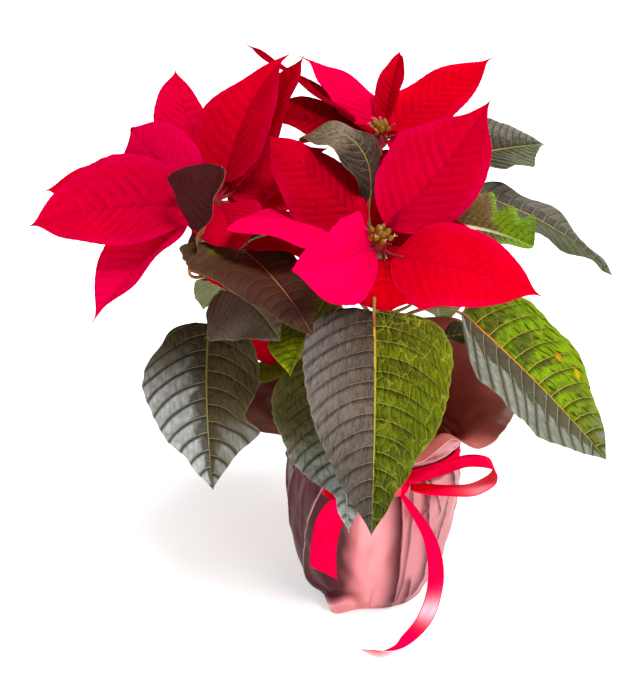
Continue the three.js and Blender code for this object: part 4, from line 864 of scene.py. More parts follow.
leafLooks = dict(
    plain={},
    lime=dict(left=((0, 150, 160, 20), (1, 130, 136, 40)), right=((0, 120, 130, 14), (1, 90, 90, 24)),
        leftVeins=((0, 200, 190, 70),), rightVeins=((0, 160, 150, 50),), leftShade=(90, 90, 10),
        rightShade=(70, 70, 10), under=(150, 160, 30), glow=(0.34, 0.3)),
    front=dict(left=((0, 66, 74, 12), (0.2, 124, 138, 6), (0.55, 120, 136, 6), (0.85, 84, 92, 14),
        (1, 80, 90, 28)), right=((0, 40, 24, 16), (0.16, 94, 76, 64), (0.5, 124, 106, 95),
        (0.8, 96, 84, 74), (1, 84, 80, 68)),
        leftVeins=((0, 214, 204, 70), (0.7, 200, 200, 80), (1, 150, 156, 70)),
        rightVeins=((0, 130, 112, 80), (0.4, 166, 160, 140), (1, 166, 162, 130)), leftShade=(18, 26, 0),
        rightShade=(48, 36, 30), shade=0.85,
        rib=((0, 240, 160, 40), (0.25, 224, 200, 60), (0.7, 190, 190, 70), (1, 130, 140, 70)),
        veinWidth=0.04, line=0.95, net=(0.75, 0.28), patch=(34, 40, 4), patchy=(0.55, 0), cross=(2.4, 1.4),
        sheen=(170, 176, 180), sheenFrom=0.5, sheenSoft=0.4, rightSheen=((0, 0), (0.2, 0.4), (1, 0)),
        relief=1.3, glow=(0.16, 0.03)),
    # the front-left leaf's pale bluish tip is a painted sheen
    frontLeft=dict(left=((0, 82, 74, 40), (0.4, 96, 88, 58), (0.75, 124, 124, 108), (1, 190, 198, 190)),
        right=((0, 108, 106, 40), (0.3, 112, 102, 58), (0.6, 120, 112, 84), (0.8, 160, 162, 150),
        (1, 206, 212, 204)), leftVeins=((0, 120, 120, 66), (1, 190, 200, 180)),
        rightVeins=((0, 140, 140, 70), (1, 190, 200, 180)), leftShade=(34, 32, 16),
        rightShade=(40, 38, 20), rib=((0, 150, 140, 70), (0.6, 150, 150, 100), (0.8, 236, 236, 226)),
        net=(0.16, 0.16), sheen=(204, 212, 210), sheenFrom=0.1, leftSheen=((0.7, 0), (0.85, 0.95)),
        rightSheen=((0.45, 0), (0.62, 0.7), (1, 0.9)), glow=(0.05, 0.04)),
    left=dict(left=((0, 60, 46, 30), (0.5, 80, 64, 44), (1, 96, 90, 70)),
        right=((0, 58, 50, 34), (0.2, 70, 64, 40), (0.4, 84, 78, 66), (1, 96, 92, 80)),
        leftVeins=((0, 112, 106, 60), (0.4, 140, 140, 48), (1, 150, 146, 120)),
        rightVeins=((0, 120, 112, 76), (1, 186, 182, 164)), leftShade=(42, 30, 20),
        rightShade=(38, 32, 24), shade=0.8, shadeReach=0.32,
        rib=((0, 150, 90, 60), (0.14, 150, 136, 56), (0.7, 160, 152, 90), (1, 90, 60, 56)), line=0.85,
        net=(0.26, 0.26), sheen=(200, 204, 204), sheenFrom=0.24, sheenSoft=0.08,
        leftSheen=((0.6, 0), (0.75, 0.5)), rightSheen=((0.14, 0), (0.42, 0.7), (0.8, 1)),
        glow=(0.05, 0.02)),
    right=dict(left=((0, 92, 112, 14), (0.3, 140, 188, 0), (0.7, 150, 186, 4), (0.86, 122, 132, 54),
        (1, 112, 118, 72)), right=((0, 80, 74, 56), (0.4, 84, 78, 60), (1, 96, 96, 70)),
        leftVeins=((0, 216, 206, 60), (1, 200, 200, 90)),
        rightVeins=((0, 160, 158, 130), (1, 176, 180, 136)), leftShade=(40, 46, 4),
        rightShade=(72, 66, 52), shade=0.95,
        rib=((0, 226, 110, 80), (0.25, 226, 150, 60), (1, 190, 184, 70)), line=0.95, net=(0.5, 0.2),
        patch=(66, 58, 34), patchy=(0.75, 0), cross=(4.5, 1.2), sheen=(170, 178, 168), sheenFrom=0.46,
        leftSheen=((0.8, 0), (0.9, 0.5)), rightSheen=((0, 0.9), (0.5, 0.7), (0.75, 0.65), (1, 0.5)),
        spots=((0.5, -0.62, 0.07, (220, 160, 20)), (0.62, -0.74, 0.08, (230, 190, 20)),
        (0.22, 0.03, 0.06, (170, 110, 90))), relief=1, glow=(0.2, 0.03)),
    overLeft=dict(left=((0, 84, 56, 42), (0.5, 78, 44, 36), (1, 76, 50, 38)),
        right=((0, 78, 64, 30), (0.14, 80, 56, 36), (0.5, 74, 42, 34), (1, 68, 46, 36)),
        leftVeins=((0, 130, 84, 56), (1, 120, 84, 60)), rightVeins=((0, 120, 90, 56), (1, 120, 84, 60)),
        leftShade=(44, 22, 16), rightShade=(44, 24, 16), shade=0.5, cloud=0.1,
        rib=((0, 216, 120, 50), (0.4, 180, 110, 70), (1, 130, 90, 70)), net=(0.04, 0.04), cross=(0.3, 0.3),
        spots=((0.14, 0.5, 0.2, (84, 90, 22)), (0.05, 0.1, 0.12, (110, 116, 30))), relief=0.3,
        glow=(0.05, 0.02)),
    underLeft=dict(left=((0, 80, 66, 58), (0.5, 98, 80, 72), (1, 92, 78, 58)),
        right=((0, 84, 72, 56), (0.5, 104, 88, 80), (1, 96, 84, 68)), leftVeins=((0, 140, 120, 100),),
        rightVeins=((0, 150, 130, 110),), leftShade=(64, 46, 38), rightShade=(64, 48, 38), shade=0.5,
        cloud=0.1, net=(0.06, 0.06), cross=(0.3, 0.3), relief=0.25, glow=(0.05, 0.02)),
    inner=dict(left=((0, 120, 130, 20), (0.4, 96, 94, 22), (0.62, 106, 106, 22), (0.72, 176, 196, 12),
        (1, 180, 196, 20)), right=((0, 120, 130, 20), (0.4, 96, 94, 22), (0.62, 104, 104, 24),
        (0.72, 176, 198, 10), (1, 180, 200, 20)), leftVeins=((0, 190, 186, 70), (1, 220, 220, 90)),
        rightVeins=((0, 190, 186, 70), (1, 220, 220, 90)), leftShade=(30, 36, 4),
        rib=((0, 190, 180, 70), (1, 200, 200, 80)), net=(0.3, 0.3), cross=(2, 2), glow=(0.2, 0.2)),
    upright=dict(left=((0, 64, 14, 18), (1, 76, 20, 24)), right=((0, 62, 14, 18), (1, 74, 18, 22)),
        leftVeins=((0, 110, 54, 46), (1, 110, 60, 50)), rightVeins=((0, 110, 54, 46), (1, 110, 60, 50)),
        leftShade=(44, 12, 16), rightShade=(44, 12, 16), shade=0.4,
        rib=((0, 120, 70, 50), (1, 120, 70, 50)), under=(166, 128, 84), underVeins=(186, 156, 110),
        net=(0.05, 0.05), cross=(0.3, 0.3), relief=0.3, glow=(0.05, 0.02)),
    arched=dict(left=((0, 36, 20, 12), (0.45, 54, 34, 22), (0.6, 132, 112, 90), (1, 104, 92, 64)),
        right=((0, 38, 22, 14), (0.5, 56, 36, 24), (0.62, 132, 116, 94), (1, 104, 94, 66)),
        leftVeins=((0, 120, 96, 70), (1, 190, 180, 150)),
        rightVeins=((0, 120, 96, 70), (1, 190, 180, 150)), leftShade=(40, 26, 18), rightShade=(40, 26, 18),
        under=(110, 130, 30), underVeins=(170, 180, 70), net=(0.1, 0.1), cross=(0.6, 0.6),
        glow=(0.05, 0.04)),
    greyRight=dict(left=((0, 56, 50, 38), (0.5, 64, 58, 46), (1, 84, 82, 64)),
        right=((0, 46, 44, 28), (0.5, 58, 60, 34), (1, 72, 76, 44)),
        leftVeins=((0, 130, 124, 104), (1, 150, 148, 124)), leftShade=(40, 36, 24),
        rightShade=(34, 32, 22), shade=0.5, veinWidth=0.035, line=0.8, net=(0.06, 0.06), cross=(0.3, 0.3),
        sheen=(166, 168, 156), sheenFrom=0.35, leftSheen=((0, 0.12), (1, 0.3)), rightSheen=((0, 0.12),),
        relief=0.3, glow=(0.05, 0.04)),
    # the lobed leaf's wide pale midrib is a painted highlight on its fold, and the brown first half of its
    # left side is painted shade
    lobed=dict(left=((0, 104, 78, 44), (0.46, 112, 86, 48), (0.53, 116, 148, 0), (1, 98, 132, 0)),
        right=((0, 60, 48, 28), (0.6, 74, 62, 30), (0.8, 110, 140, 10), (1, 100, 140, 10)),
        leftVeins=((0, 150, 120, 80), (0.5, 120, 150, 50)), leftShade=(60, 56, 16),
        rib=((0, 236, 170, 100), (0.3, 240, 232, 200), (0.8, 150, 180, 60)), ribWidth=0.4, line=0.5,
        net=(0.05, 0.1), lean=0.26, cross=(0.2, 0.3), relief=0.4, glow=(0.12, 0.1)))

skins = {}
leafStalk = stalkMaterial("leaf_stalk", rgb(168, 84, 62), rgb(140, 130, 62))
bractStalk = stalkMaterial("bract_stalk", rgb(156, 16, 44), rgb(138, 46, 44))
bare = dict(veins=(0, 0), spread=(0, 0), flat=(0, 0), upper=(1,))


# Where a stalk starts beside its shoot, clear of the shoot by gap along the whole slant of the stalk.
def stalkFoot(shoot, at, towards):
    line = smoothLine(shoot["points"], 400)
    length = runLength(line)
    place = int(np.argmin(np.abs(length - at * length[-1])))
    centre = line[place]
    tangent = unit(line[place + 1] - line[place - 1])
    direction = unit(np.asarray(towards) - centre)
    lean = np.arccos(np.clip(direction @ tangent, -1, 1))
    radius = shoot["radius"] * (1 + (shootTaper - 1) * at)
    clear = radius + gap + stalk["radius"] * abs(np.cos(lean))
    return centre + direction * clear / np.sin(lean)


# A leaf is one blade, and a stalk that comes from its shoot.
def makeLeaf(name, own):
    blade = dict(leaf, **own)
    look = blade["look"]
    if look not in skins:
        skins[look] = leafMaterial("leaf_skin_" + look, leafLooks[look])
    shell = Shell()
    grid = (coarseGrid if look in ("plain", "lime") else fineGrid)["leaf"]
    addBlade(shell, blade, *grid, {})
    foot = stalkFoot(shoots[blade["shoot"]], blade["at"], blade["start"])
    addStalk(shell, foot, blade, bare)
    shell.make(name + "_blade", (name,), "leaf", skins[look], leafStalk)


for name, own in leaves.items():
    makeLeaf(name, own)
print("leaves made")

redSkin = bractMaterial()
cupSkin = cupMaterial()
styleSkin = styleMaterial()


# Which way a bloom faces: straight up, tilted towards the front and the right.
def bloomAxis(bloom):
    front, right = np.radians((bloom["tiltFront"], bloom["tiltRight"]))
    return np.array((np.sin(right), -np.sin(front) * np.cos(right), np.cos(front) * np.cos(right)))


# Bracts round a ball of a hub, which their stalks come from.
def makeBracts(bloom, hub):
    shell = Shell()
    reds = dict(bare, tone=(0,), shade=(0,))
    for place, own in enumerate(bloom["bracts"]):
        blade = dict(bract, phase=1.7 * place, **own)
        grid = (fineGrid if place < bloom["fine"] else coarseGrid)["bract"]
        addBlade(shell, blade, *grid, dict(tone=blade["tone"], shade=blade["shade"]))
        addStalk(shell, hub, blade, reds)
    addBall(shell, hub, bloomAxis(bloom), hubRadius, 17, 28, reds, 1)
    name = "bloom_" + bloom["name"] + "_bracts"
    shell.make(name + "_leaves", (name,), "bract", redSkin, bractStalk)


# Flower cups packed a golden angle apart, each an egg with a mouth that the styles stand in.
def makeFlowers(bloom, hub):
    shell = Shell()
    axis = bloomAxis(bloom)
    first, second = square(axis)
    seat = hub + axis * (hubRadius + gap + flower["cushion"])
    plain = dict(spread=(0, 0.2), flat=(0, 0))
    addBall(shell, seat, axis, flower["cushion"], 13, 20, plain)
    share = np.linspace(0, 1, 15)
    sides = 18
    lobes = 0.05 * np.cos(5 * circle(sides))[None, :]
    for place in range(flower["cups"]):
        turn = place * flower["turn"]
        lean = flower["spread"] * np.sqrt(place)
        outward = np.cos(turn) * first + np.sin(turn) * second
        tilt = unit(axis + outward * lean * 0.07)
        grown = 1 - 0.16 * ((place * 5) % 4) / 3 - 0.02 * place
        foot = seat + outward * lean * 0.75 - axis * 0.16 * place
        width = flower["cup"] * grown * (np.sin(np.pi * share ** 0.85) ** 0.62 * (1 - 0.28 * share) + 0.02)
        rings = latheRings(foot, tilt, width, share * flower["length"] * grown, sides, lobes)
        level = np.repeat(share, sides)
        around = np.tile(np.linspace(0, 2, sides), len(share)) + place
        spread = np.stack((level * 0, level), -1)
        addRings(shell, rings, dict(spread=spread, flat=np.stack((around, level), -1)))
        top = foot + tilt * flower["length"] * grown
        for style in range(3 if place % 3 == 0 else 0):
            spin = style * 2.1 + place
            aside = np.cos(spin) * first + np.sin(spin) * second
            path = bezier(top - tilt * 0.6, top + tilt * 0.6, top + tilt * 1.4 + aside * 0.5,
                          top + tilt * 1.9 + aside * 1.5, 8)
            addTube(shell, path, np.linspace(0.34, 0.2, 8), 8, plain, 1)
    name = "bloom_" + bloom["name"] + "_flowers"
    shell.make(name + "_cups", (name,), "flower", cupSkin, styleSkin)


for bloom in blooms:
    hub = np.array(shoots[bloom["name"]]["points"][-1], float)
    makeBracts(bloom, hub)
    makeFlowers(bloom, hub)
print("blooms made")

trunk = dict(radius=5, bottom=78, top=138)


# Round tubes: a trunk that wavers in girth as sin(31 share), and shoots that thin out to their
# hubs and are thicker at seven nodes, by 0.14 exp(-distance^2/0.004).
def makeStems():
    shell = Shell()
    share = np.linspace(0, 1, 40)
    path = np.stack((0 * share, 0 * share, trunk["bottom"] + (trunk["top"] - trunk["bottom"]) * share), 1)
    radii = trunk["radius"] * (1 - 0.06 * share + 0.035 * np.sin(31 * share))
    radii = radii * np.where(share > 0.97, 0.7, 1)
    addTube(shell, path, radii, 28, {})
    for place, shoot in enumerate(shoots.values()):
        line = smoothLine(shoot["points"], 90)[:-2]
        along = np.linspace(0, 1, len(line))
        nodes = np.exp(-((along * 7 + 0.4 * place) % 1 - 0.5) ** 2 / 0.004)
        radius = shoot["radius"] * (1 + (shootTaper - 1) * along) * (1 + 0.14 * nodes)
        addTube(shell, line, radius, 20, {})
    shell.make("stems_branched", ("stems",), "stem", stemMaterial())


makeStems()
print("stems made")

pot = dict(height=127, baseRadius=37, rimRadius=61, rimHeight=17, wall=2.2, foot=1.1, floor=4.1)
soil = dict(top=115, hole=5.6, rows=90, dip=76.0)
roundSides = 128


# The outside of the wall widens evenly with height.
def potRadius(height):
    return pot["baseRadius"] + (pot["rimRadius"] - 1.5 - pot["baseRadius"]) * height / pot["height"]


# A profile turned about +Z: up the outside, over a thicker rim and down the inside.
def makePot():
    shoulder = pot["height"] - pot["rimHeight"]
    wall, top, floor, foot = pot["wall"], pot["height"], pot["floor"], pot["foot"]
    profile = (
        (0.05, foot), (pot["baseRadius"] - 1.2, foot), (pot["baseRadius"] - 0.3, foot + 0.4),
        (potRadius(2), foot + 1.6), (potRadius(shoulder), shoulder - 0.4),
        (potRadius(shoulder) + 0.4, shoulder), (pot["rimRadius"] - 0.5, shoulder + 0.1),
        (pot["rimRadius"], shoulder + 0.6),
        (pot["rimRadius"], top - 0.8), (pot["rimRadius"] - 0.6, top), (potRadius(top) - wall + 0.6, top),
        (potRadius(top) - wall, top - 0.6), (potRadius(shoulder) - wall, shoulder),
        (potRadius(floor) - wall, floor + 0.8), (potRadius(floor) - wall - 1, floor), (0.05, floor))
    shell = Shell()
    radii, heights = np.array(profile).T
    addRings(shell, latheRings(np.zeros(3), up, radii, heights, roundSides), {})
    shell.make("pot_moulded", ("pot",), "pot", potMaterial())


# Soil surface: broad lumps and fine crumbs, each a product of two wavering sines.
def makeSoil():
    shell = Shell()
    bottom = pot["floor"] + gap
    edge = potRadius(soil["top"]) - pot["wall"] - 2 * gap
    top = slice(2, 2 + soil["rows"])
    radii = np.concatenate(((0.05, potRadius(bottom) - pot["wall"] - 2 * gap),
                            np.linspace(edge, soil["hole"], soil["rows"]), (soil["hole"] - 0.2, 0.05)))
    heights = np.concatenate(((bottom,) * 2, (soil["top"] - 1.4,) * soil["rows"], (soil["dip"],) * 2))
    rings = latheRings(np.zeros(3), up, radii, heights, roundSides)
    x, y = rings[..., 0], rings[..., 1]
    lumps = np.sin(0.55 * x + 1.3 * np.sin(0.31 * y)) * np.sin(0.6 * y + 1.1 * np.sin(0.27 * x))
    crumbs = np.sin(1.9 * x + 2 * np.sin(0.9 * y)) * np.sin(2.1 * y + 2 * np.sin(0.8 * x))
    rings[top, :, 2] += (0.9 * lumps + 0.6 * crumbs)[top]
    addRings(shell, rings, {})
    shell.make("soil_crumbed", ("soil",), "soil", soilMaterial())


makePot()
makeSoil()
print("pot and soil made")

# Wall of the wrap from its bottom to its neck: radius, height, pleat depth, how much fuller it is
# on its left, and how far the folded corner of the film stands out.
wrap = dict(
    wall=((0.05, 0, 0, 0, 0), (20, 0, 0, 0, 0), (39.5, 0, 0, 2, 13), (42.5, 3.5, 0.5, 3, 13),
          (48, 15, 1, 4.5, 7), (54, 31, 1.6, 5, 2), (62, 64, 1.8, 3, 0), (66, 92, 1.2, 1, 0),
          (65, 109, 0.4, 0, 0), (65, 127, 0.4, 0, 0)),
    edge=((-90, 88, 141), (-74, 91, 141), (-57, 91, 155), (-40, 97, 142), (-22, 105, 153), (5, 107, 160),
          (25, 104, 180), (44, 99, 200), (72, 96, 195), (103, 96, 184), (134, 99, 166), (160, 102, 152),
          (182, 104, 147), (204, 104, 150), (222, 96, 154), (246, 90, 150), (270, 88, 141)),
    collar=(0.22, 0.5, 0.76, 1), corner=-122, spread=11, thickness=0.35, columns=372, rows=130, neck=121,
    # light is the direction that the film's painted light and shade are worked out from
    light=(0.72, -0.52, 0.46),
    # ridges: from angle and height to angle and height, how far out, how soft left and right, and how much
    # painted shade lies on the left flank
    folds=((-76, 121, -71, 2, 2.7, 7, 0.5, 1), (-67, 112, -66, 6, 1.3, 2.6, 0.5, 0.7),
           (-59.5, 122, -46, 12, 2.1, 3.4, 0.5, 0.9), (-57, 121, -44, 86, 1.8, 1.4, 1.5, 1),
           (-36, 121, -27, 98, 2.8, 4, 0.7, 1), (-30, 112, -38, 40, 1.5, 3, 0.8, 0.7),
           (-52, 108, -60, 84, 1.2, 2, 0.6, 0.7), (-44, 70, -50, 8, 1.5, 5, 0.5, 0.8),
           (-98, 121, -103, 66, 0.9, 6, 3, 0.3), (-88, 120, -86, 88, 0.9, 3, 1, 0.2),
           (-90, 30, -94, -2, 1.4, 1, 5, 0.1), (-80, 24, -84, -2, 1.2, 3, 0.9, 0.3),
           (-60, 30, -54, -2, 1.4, 4, 0.6, 0.9), (-140, 120, -150, 60, 1.3, 3, 1.2, 0.5),
           (-156, 121, -170, 40, 1.6, 2, 1, 0.8)),
    # the seam's pale line is a painted highlight along the film's free edge
    seam=(-125, 112, -159, 20, 1.5, 0.6, 8, 0),
    # angles: where the foot's corner rolls and swells beside the roll, where a painted highlight lies on
    # the roll with painted shade in the tuck above it, where the wall is rumpled, where a painted glare
    # from a second light falls, and where painted shade inside the collar is darkest
    roll=-128, swell=-153, tuck=-124, rumple=-46, glare=92, deepest=162, backFolds=range(-12, 212, 16))


# Soft pleats: 0.65 sin(13 turn) + 0.35 sin(5 turn), each with its own start.
def pleat(angle):
    turn = np.radians(angle)
    return 0.65 * np.sin(13 * turn + 0.6) + 0.35 * np.sin(5 * turn + 2)


# Degrees from a place round the wrap to an angle, between -180 and 180.
def fromPlace(angle, place):
    return (angle - place + 540) % 360 - 180


# Rows of radius and height at every angle: the wall, which has pleats, is fuller on its left by -cos
# and stands out round the corner, then the collar, which rises as a sine from the neck to its edge.
def wrapProfile(angle):
    left = np.maximum(0, -np.cos(np.radians(angle)))
    corner = bell(fromPlace(angle, wrap["corner"]), wrap["spread"])
    rows = [np.stack((radius + depth * pleat(angle) + fuller * left + stands * corner,
                      height + 0 * angle), -1) for radius, height, depth, fuller, stands in wrap["wall"]]
    places, radii, heights = np.array(wrap["edge"]).T
    turn = (angle - places[0]) % 360 + places[0]
    index = np.searchsorted(places, turn, side="right") - 1
    share = (turn - places[index]) / (places[index + 1] - places[index])
    share = share * share * (3 - 2 * share)
    radius = radii[index] * (1 - share) + radii[index + 1] * share
    height = heights[index] * (1 - share) + heights[index + 1] * share
    neckRadius, neckHeight = wrap["wall"][-1][:2]
    for out in wrap["collar"]:
        rise = np.sin(out * np.pi / 2) ** 0.9
        arch = 5 * np.sin(np.pi * out)
        spread = neckRadius + (radius - neckRadius) * out ** 1.15 + 2.2 * out * pleat(angle + 9)
        rows.append(np.stack((spread, neckHeight + (height - neckHeight) * rise + arch), -1))
    return np.stack(rows)


# Distance in millimetres round the wrap from a fold's line, and 1 along its run.
def fromFold(fold, angle, height, radius):
    start, high, end, low = fold[:4]
    share = np.clip((high - height) / (high - low), 0, 1)
    across = np.radians(fromPlace(angle, start + (end - start) * share)) * radius
    run = np.clip((high + 4 - height) / 8, 0, 1) * np.clip((height - low + 8) / 10, 0, 1)
    return across, run


# Each fold is a ridge, depth times exp(-distance/softness) with its own softness on each side, and has
# painted shade on its left flank, which turns from the light.
def foldDepth(angle, height, radius, rng):
    back = [(start, wrap["neck"], start + rng.uniform(-9, 9), rng.uniform(0, 60), rng.uniform(1, 2.4),
             *soft, 0.4) for start, soft in zip(wrap["backFolds"], ((4, 1), (1, 4)) * 7)]
    total = 0 * angle * height
    dark = 0 * total
    for fold in (*wrap["folds"], wrap["seam"], *back):
        across, run = fromFold(fold, angle, height, radius)
        total = total + fold[4] * np.exp(-np.abs(across) / np.where(across < 0, fold[5], fold[6])) * run
        flank = bell(across, np.where(across < 0, fold[5] * 1.1, 0.7)) * run
        dark = np.maximum(dark, fold[7] * flank)
    return total, dark


# Gathers under and over the ribbon: narrow creases that run out from the neck.
def gatherDepth(angle, height, radius, rng):
    total = 0 * angle * height
    fromNeck = height - wrap["neck"]
    for _ in range(44):
        place, lean = rng.uniform(-180, 180), rng.uniform(-0.12, 0.12)
        depth, wide = rng.uniform(0.35, 1.3), rng.uniform(0.9, 2.2)
        below, above = rng.uniform(10, 46), rng.uniform(12, 60)
        across = np.radians(fromPlace(angle, place + lean * fromNeck)) * radius
        wide = wide * (1 + np.abs(fromNeck) / 26)
        fade = np.exp(-np.abs(fromNeck) / np.where(fromNeck < 0, below, above))
        total = total - depth * np.exp(-np.abs(across) / wide) * fade
    return total


# The film's corner, tucked under: a soft roll on the table with a crease over it.
def cornerRoll(angle, height):
    near = bell(fromPlace(angle, wrap["roll"]), 12)
    aside = 4.5 * bell(fromPlace(angle, wrap["swell"]), 13) * bell(height - 12, 7)
    return near * (4 * bell(height - 6, 5) - 3 * bell(height - 16, 3)) + aside


# The film follows smooth lines up through the rows of its profile. Folds, gathers, crumples, which
# are products of sines, and a swell on each side of the ribbon shift it outwards, less where the
# ribbon holds it. Its inner side lies a thickness inside, along the normals.
def makeWrap():
    angle = np.linspace(-180, 180, wrap["columns"], endpoint=False)
    profile = smoothLine(wrapProfile(angle), wrap["rows"])
    radius, height = profile[..., 0], profile[..., 1]
    height = np.maximum(height, 0)
    wall = np.clip((height - 1) / 8, 0, 1)
    loose = np.clip((height - pot["height"]) / 22, 0, 1)
    rng = np.random.default_rng(11)
    around = angle[None, :]
    turn = np.radians(around)
    folds, creaseShade = foldDepth(around, height, radius, rng)
    shift = folds + gatherDepth(around, height, radius, rng)
    crumple = (np.sin(9 * turn + 0.09 * height + 1.2 * np.sin(4 * turn + 0.05 * height))
               * np.sin(0.13 * height + 5 * turn) + 0.5 * np.sin(23 * turn - 0.16 * height))
    rumple = bell(fromPlace(around, wrap["rumple"]), 14) * bell(height - 92, 16)
    shift = shift + (0.45 + 1.3 * rumple) * crumple
    swell = bell(height - 112, 2.4) + bell(height - 129.5, 2.2)
    held = np.clip(1 - np.abs(height - wrap["neck"]) / 6, 0, 1)
    shift = shift * (1 - 0.8 * held) - 0.8 * held + 2.0 * swell
    shift = np.clip(shift * (1 + loose), -2.2 - 4 * loose, 5) + cornerRoll(around, height)
    radius = radius + shift * wall
    outer = np.stack((radius * np.cos(turn), radius * np.sin(turn), height), -1)
    normals = gridNormals(outer)
    inner = outer - normals * wrap["thickness"]
    inner[..., 2] = np.maximum(inner[..., 2], wrap["thickness"])
    # a painted highlight along the seam's free edge and round the collar's rim
    across, run = fromFold(wrap["seam"], around, height, radius)
    seam = bell(across, 0.6) * run
    rim = np.zeros_like(seam)
    rim[-1] = 1
    # Painted light: facing is the wall's turn towards wrap's light, at least a painted glare from a second
    # light, with a painted highlight on the corner roll; the tuck above the roll and the collar's inside
    # (deep) get painted shade.
    wallNormal = np.stack((np.cos(turn) + 0 * height, np.sin(turn) + 0 * height, 0 * height), -1)
    facing = (0.8 * wallNormal + 0.2 * normals) @ np.array(wrap["light"])
    glare = 0.42 * bell(fromPlace(around, wrap["glare"]), 52)
    facing = np.maximum(facing, glare + 0.1 * normals[..., 2])
    fromTuck = fromPlace(around, wrap["tuck"])
    facing = facing + 0.5 * bell(fromTuck, 12) * bell(height - 5, 6)
    tuck = bell(fromTuck, 14) * bell(height - 17, 3.5)
    creaseShade = np.maximum(creaseShade, 0.95 * tuck) * (1 - loose)
    deep = 0.95 * bell(fromPlace(around, wrap["deepest"]), 42) + 0 * creaseShade
    maps = dict(creaseShade=np.concatenate((creaseShade, deep)), inside=np.concatenate((0 * seam, 1 - rim[::-1])),
                seam=np.concatenate((seam + rim, rim[::-1])), facing=np.concatenate((facing, 0 * facing)))
    shell = Shell()
    addRings(shell, np.concatenate((outer, inner[::-1])), maps)
    piece = shell.make("wrap_gathered", ("wrap",), "film", filmMaterial())


makeWrap()
print("wrap made")

ribbon = dict(width=19, thickness=0.34, share=0.62, reach=11)
knot = dict(centre=(14, -70.6, 119), size=(17, 10.4, 20))
band = dict(low=115, high=126, inside=65.7, thickness=0.7)
# Centre lines that start in the knot, and across, by which the width turns about the line from +Y.
# glint places a painted highlight on a strip: its centre as a share of the length, its spread and its
# strength
strips = dict(
    ribbon_loop_right=dict(both=True, slant=0, shorter=1, glint=(0.62, 0.09, 0.5), across=(0,) * 8, points=(
        (18, -72, 123), (42, -75, 131), (62, -70, 136), (80, -63, 131), (83, -61, 120), (68, -66, 113),
        (46, -74, 116), (18, -72, 118))),
    ribbon_loop_left=dict(both=True, slant=0, shorter=1, glint=(0.4, 0.1, 0.4), across=(0,) * 8, points=(
        (10, -72, 122), (-8, -79, 127), (-23, -82, 128), (-37, -81, 125), (-38, -80, 119), (-24, -81, 114),
        (-8, -79, 116), (10, -72, 117))),
    ribbon_tail_right=dict(both=False, slant=18, shorter=-1, glint=(0.6, 0.055, 0.75), across=(
        0, 10, 22, 34, 47, 54, 50, 38, 25), points=(
        (15, -73, 114), (27, -82, 99), (35, -85, 85), (40, -88, 67), (40, -92, 47), (33, -97, 26),
        (19, -102, 11.6), (6, -106, 6.6), (-13, -105, 4.7))),
    ribbon_tail_left=dict(both=False, slant=12, shorter=-1, glint=(0, 1, 0), across=(
        20, 45, 75, 85, 85, 85, 85), points=(
        (11, -73, 113), (-9, -79, 109), (-26, -77, 105), (-34, -75, 93), (-37.5, -73, 78), (-39, -74, 62),
        (-38, -73, 43))))


# Rows of a table read at places between them.
def between(table, place):
    first = np.minimum(place.astype(int), len(table) - 2)
    share = (place - first).reshape(place.shape + (1,) * (table.ndim - 1))
    return table[first] * (1 - share) + table[first + 1] * share


# A strip follows its line; its width shrinks by share times exp(-(distance from the knot/reach)^2)
# and the part that is drawn in lies in small pleats. A free end is cut on the slant.
def makeStrip(name, path, material):
    count, columns = 130, 22
    line = smoothLine(path["points"], count)
    turns = np.radians(smoothLine(np.array(path["across"])[:, None], count)[:, 0])
    tangent = unit(np.gradient(line, axis=0))
    level = unit(np.array((0, 1.0, 0)) - tangent[:, 1:2] * tangent)
    width = turned(level, tangent, turns)
    length = runLength(line)
    outside = (((line - knot["centre"]) / (np.array(knot["size"]) / 2 - 0.5)) ** 2).sum(1) > 1
    first, last = np.flatnonzero(outside)[[0, -1]]
    across = np.linspace(-1, 1, columns)[None, :]
    place = np.linspace(first, last, count)[:, None]
    late = np.clip((place - first) / (last - first) * 2 - 1, 0, 1) ** 2
    place = place - path["slant"] / length[-1] * count * late * (1 + path["shorter"] * across) / 2
    along = between(length, place)
    fromKnot = np.minimum(along, length[-1] - along) if path["both"] else along
    drawn = bell(fromKnot, ribbon["reach"])
    half = ribbon["width"] / 2 * (1 - ribbon["share"] * drawn)
    height = 1.1 * drawn * np.sin(9 * across + 0.6) * (1 - across ** 4)
    height = height + 0.35 * np.sin(0.11 * along + 1.5 * across) + 0.3 * across ** 2
    normal = np.cross(between(tangent, place), between(width, place))
    point = between(line, place) + (across * half)[..., None] * between(width, place)
    point = point + height[..., None] * normal
    flat = np.stack(np.broadcast_arrays(along / 10, across), -1)
    # a painted highlight along the strip, strongest at the glint's centre
    centre, spread, strength = path["glint"]
    glint = strength * bell(along / length[-1] - centre, spread) + 0 * across
    thick = ribbon["thickness"] / 2 * normal
    shell = Shell()
    addSheet(shell, point - thick, point + thick, dict(flat=flat, glint=glint))
    piece = shell.make(name + "_satin", (name,), "ribbon", material)


